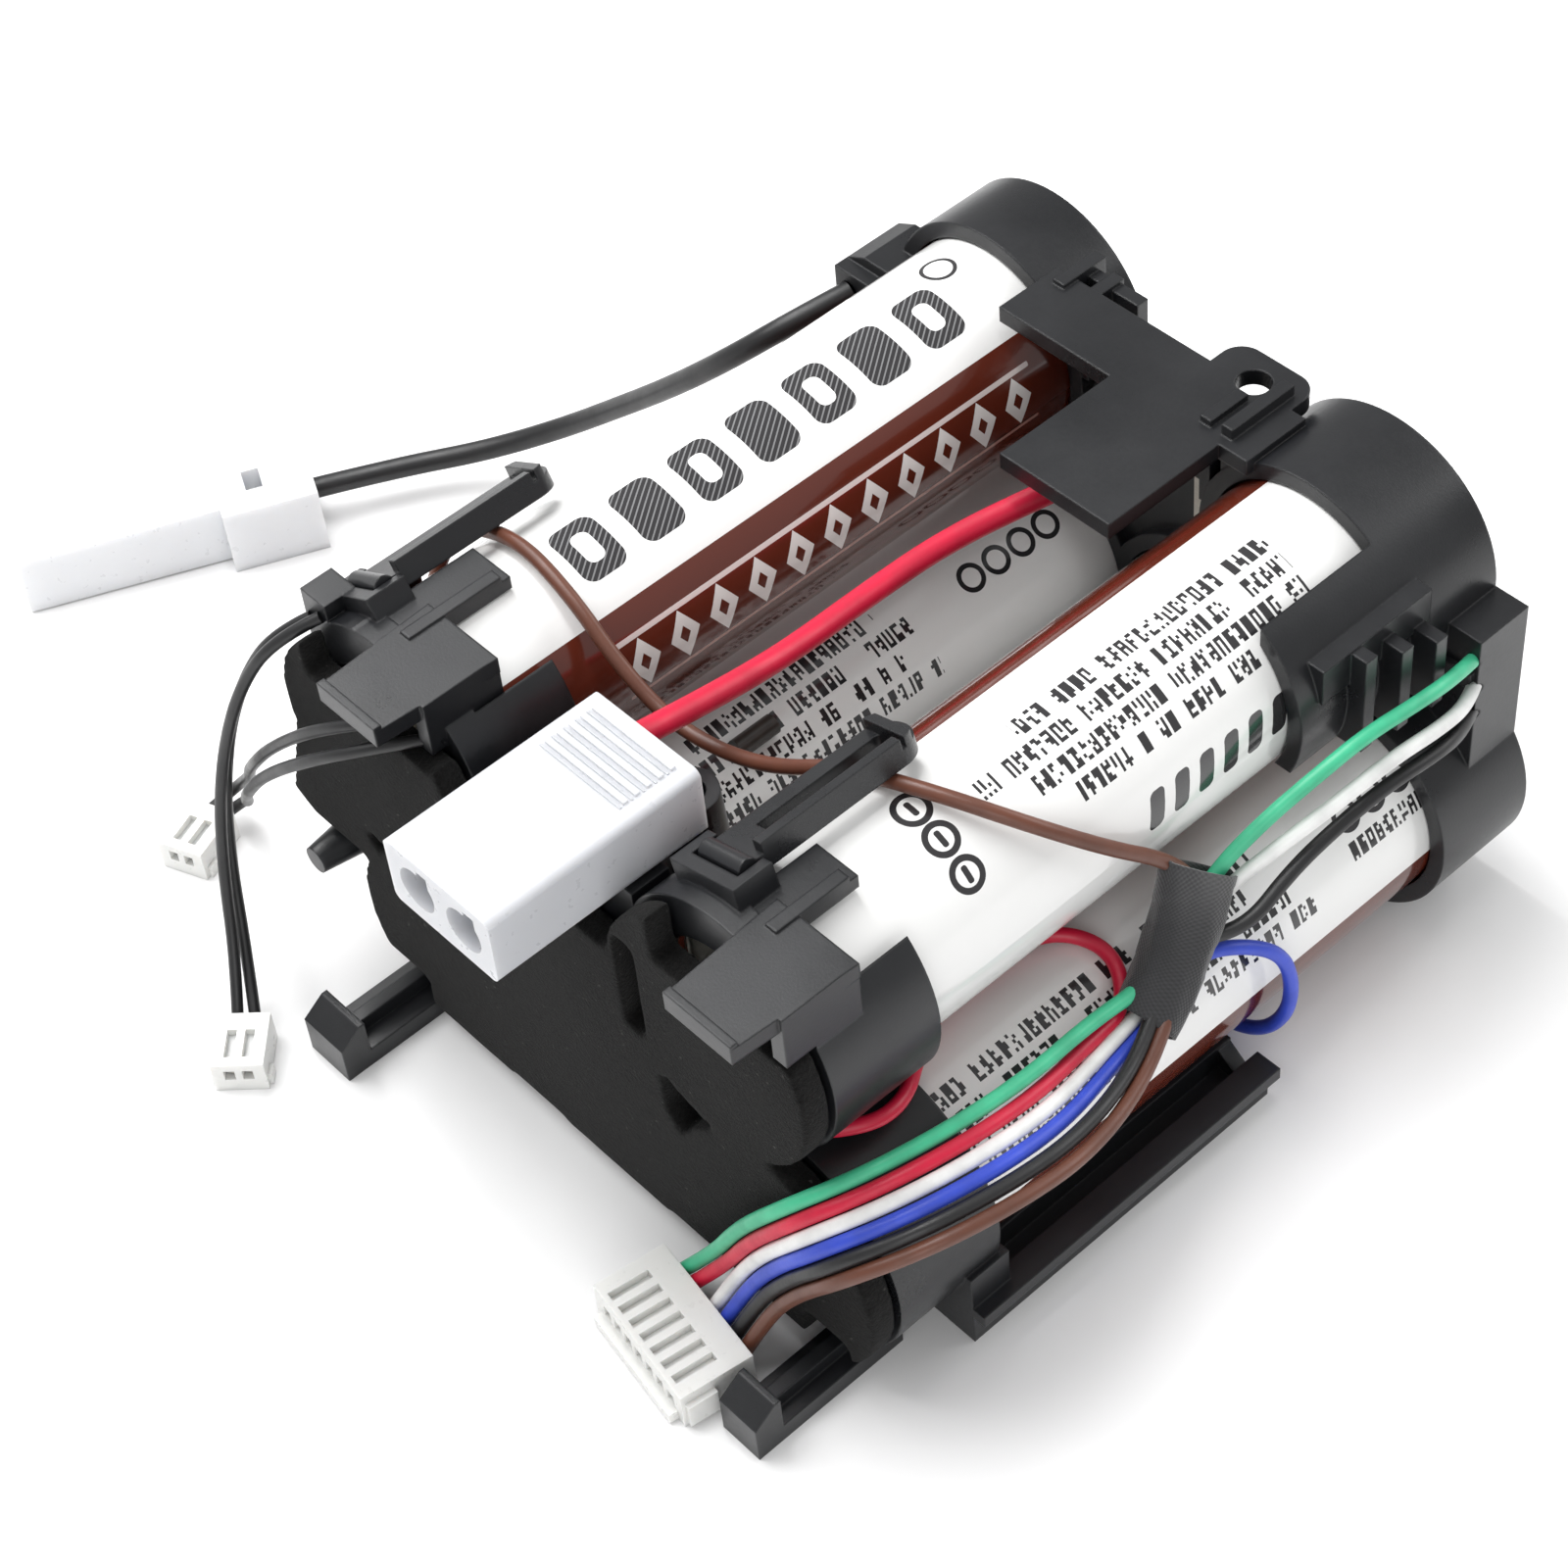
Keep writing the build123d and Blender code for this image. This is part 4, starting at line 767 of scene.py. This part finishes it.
cloth = Finish("cloth_tape", Roughness=0.8)
cloth.shader.inputs["Sheen Weight"].default_value = 0.3
woven = node(cloth.tree, "ShaderNodeUVMap", {"uv_map": "weave"})
split = cloth.tree.nodes.new("ShaderNodeSeparateXYZ")
cloth.tree.links.new(woven.socket, split.inputs[0])
u, v = (Sock(cloth.tree, s) for s in split.outputs[:2])
warp = (u * 16.0).math("SINE")
weft = (v * 16.0).math("SINE")
threads = (warp * weft) * 0.5 + 0.5
fuzz = cloth.noise(4.0, 4)
cloth.feed("Base Color", mix(threads * 0.6 + fuzz * 0.4, (0.007, 0.007, 0.008), (0.035, 0.035, 0.038)))
cloth.feed("Roughness", fuzz * 0.2 + 0.68)
cloth.bump(threads * 0.7 + fuzz * 0.3, 0.06, 0.8)
tape.data.materials.append(cloth.material)
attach(tape, "pack")
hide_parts("harness_tape")
print("tape", len(tape.data.polygons), "faces")

# %% [markdown]
# Fine ribs repeat on the plugs. One Geometry Nodes tree sets blocks in a row: its inputs are
# how many, where the first is, the step, and the block's size. The result is made a plain mesh.


# %% A row of blocks
def row_tree():
    tree = bpy.data.node_groups.new("row_of_blocks", "GeometryNodeTree")
    face = tree.interface
    face.new_socket("Geometry", in_out="OUTPUT", socket_type="NodeSocketGeometry")
    for name, kind in (("Count", "NodeSocketInt"), ("First", "NodeSocketVector"),
                       ("Step", "NodeSocketVector"), ("Block", "NodeSocketVector"),
                       ("Turn", "NodeSocketVector"), ("Finish", "NodeSocketMaterial")):
        face.new_socket(name, in_out="INPUT", socket_type=kind)
    given = tree.nodes.new("NodeGroupInput")
    line = tree.nodes.new("GeometryNodeMeshLine")
    line.mode = "OFFSET"
    block = tree.nodes.new("GeometryNodeMeshCube")
    spread = tree.nodes.new("GeometryNodeInstanceOnPoints")
    real = tree.nodes.new("GeometryNodeRealizeInstances")
    paint = tree.nodes.new("GeometryNodeSetMaterial")
    done = tree.nodes.new("NodeGroupOutput")
    for a, b in ((given.outputs["Count"], line.inputs["Count"]),
                 (given.outputs["First"], line.inputs["Start Location"]),
                 (given.outputs["Step"], line.inputs["Offset"]),
                 (given.outputs["Block"], block.inputs["Size"]),
                 (line.outputs["Mesh"], spread.inputs["Points"]),
                 (block.outputs["Mesh"], spread.inputs["Instance"]),
                 (given.outputs["Turn"], spread.inputs["Rotation"]),
                 (spread.outputs["Instances"], real.inputs["Geometry"]),
                 (real.outputs["Geometry"], paint.inputs["Geometry"]),
                 (given.outputs["Finish"], paint.inputs["Material"]),
                 (paint.outputs["Geometry"], done.inputs["Geometry"])):
        tree.links.new(a, b)
    return tree


ROW = row_tree()


def row_of_blocks(name, count, first, step, block, turn, finish):
    made = bpy.data.objects.new(name, bpy.data.meshes.new(name))
    bpy.context.scene.collection.objects.link(made)
    maker = made.modifiers.new("row", "NODES")
    maker.node_group = ROW
    values = {"Count": count, "First": first, "Step": step, "Block": block, "Turn": turn,
              "Finish": finish}
    for item in ROW.interface.items_tree:
        if item.in_out == "INPUT":
            maker[item.identifier] = values[item.name]
    bpy.context.view_layer.update()
    plain = bpy.data.meshes.new_from_object(made.evaluated_get(bpy.context.evaluated_depsgraph_get()))
    made.modifiers.clear()
    made.data = plain
    soften = made.modifiers.new("soften", "BEVEL")
    soften.width = min(block) * 0.2
    soften.segments = 2
    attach(made, "pack")
    print(name, count, "blocks")
    return made


low, high = (Vector(c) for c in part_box("two_pole_housing"))
rib = (high.x - low.x - 0.0028, 0.00022, 0.0003)
first = ((low.x + high.x) / 2, high.y - 0.0012 - 0.00055, high.z - 0.00030)
plug_ribs = row_of_blocks("two_pole_fine_ribs", 5, first, (0, -0.0011, 0), rib,
                          (0, 0, 0), bpy.data.materials["nylon_milky"])

# %% [markdown]
# Each lead's real length is printed. The length is that of its own line, because the whole of each
# lead shows or lies clipped in the pack.

declare(wires["black_lead"], BLACK_ROUTE)
declare(wires["red_lead"], RED_ROUTE)
for colour, route in SENSE_ROUTES.items():
    declare(wires["sense_wire_" + colour], route)
for name, route in PROBE_ROUTES.items():
    plug = "probe_plug_1" if name[-2] == "1" else "probe_plug_2"
    declare(wires[name], route)
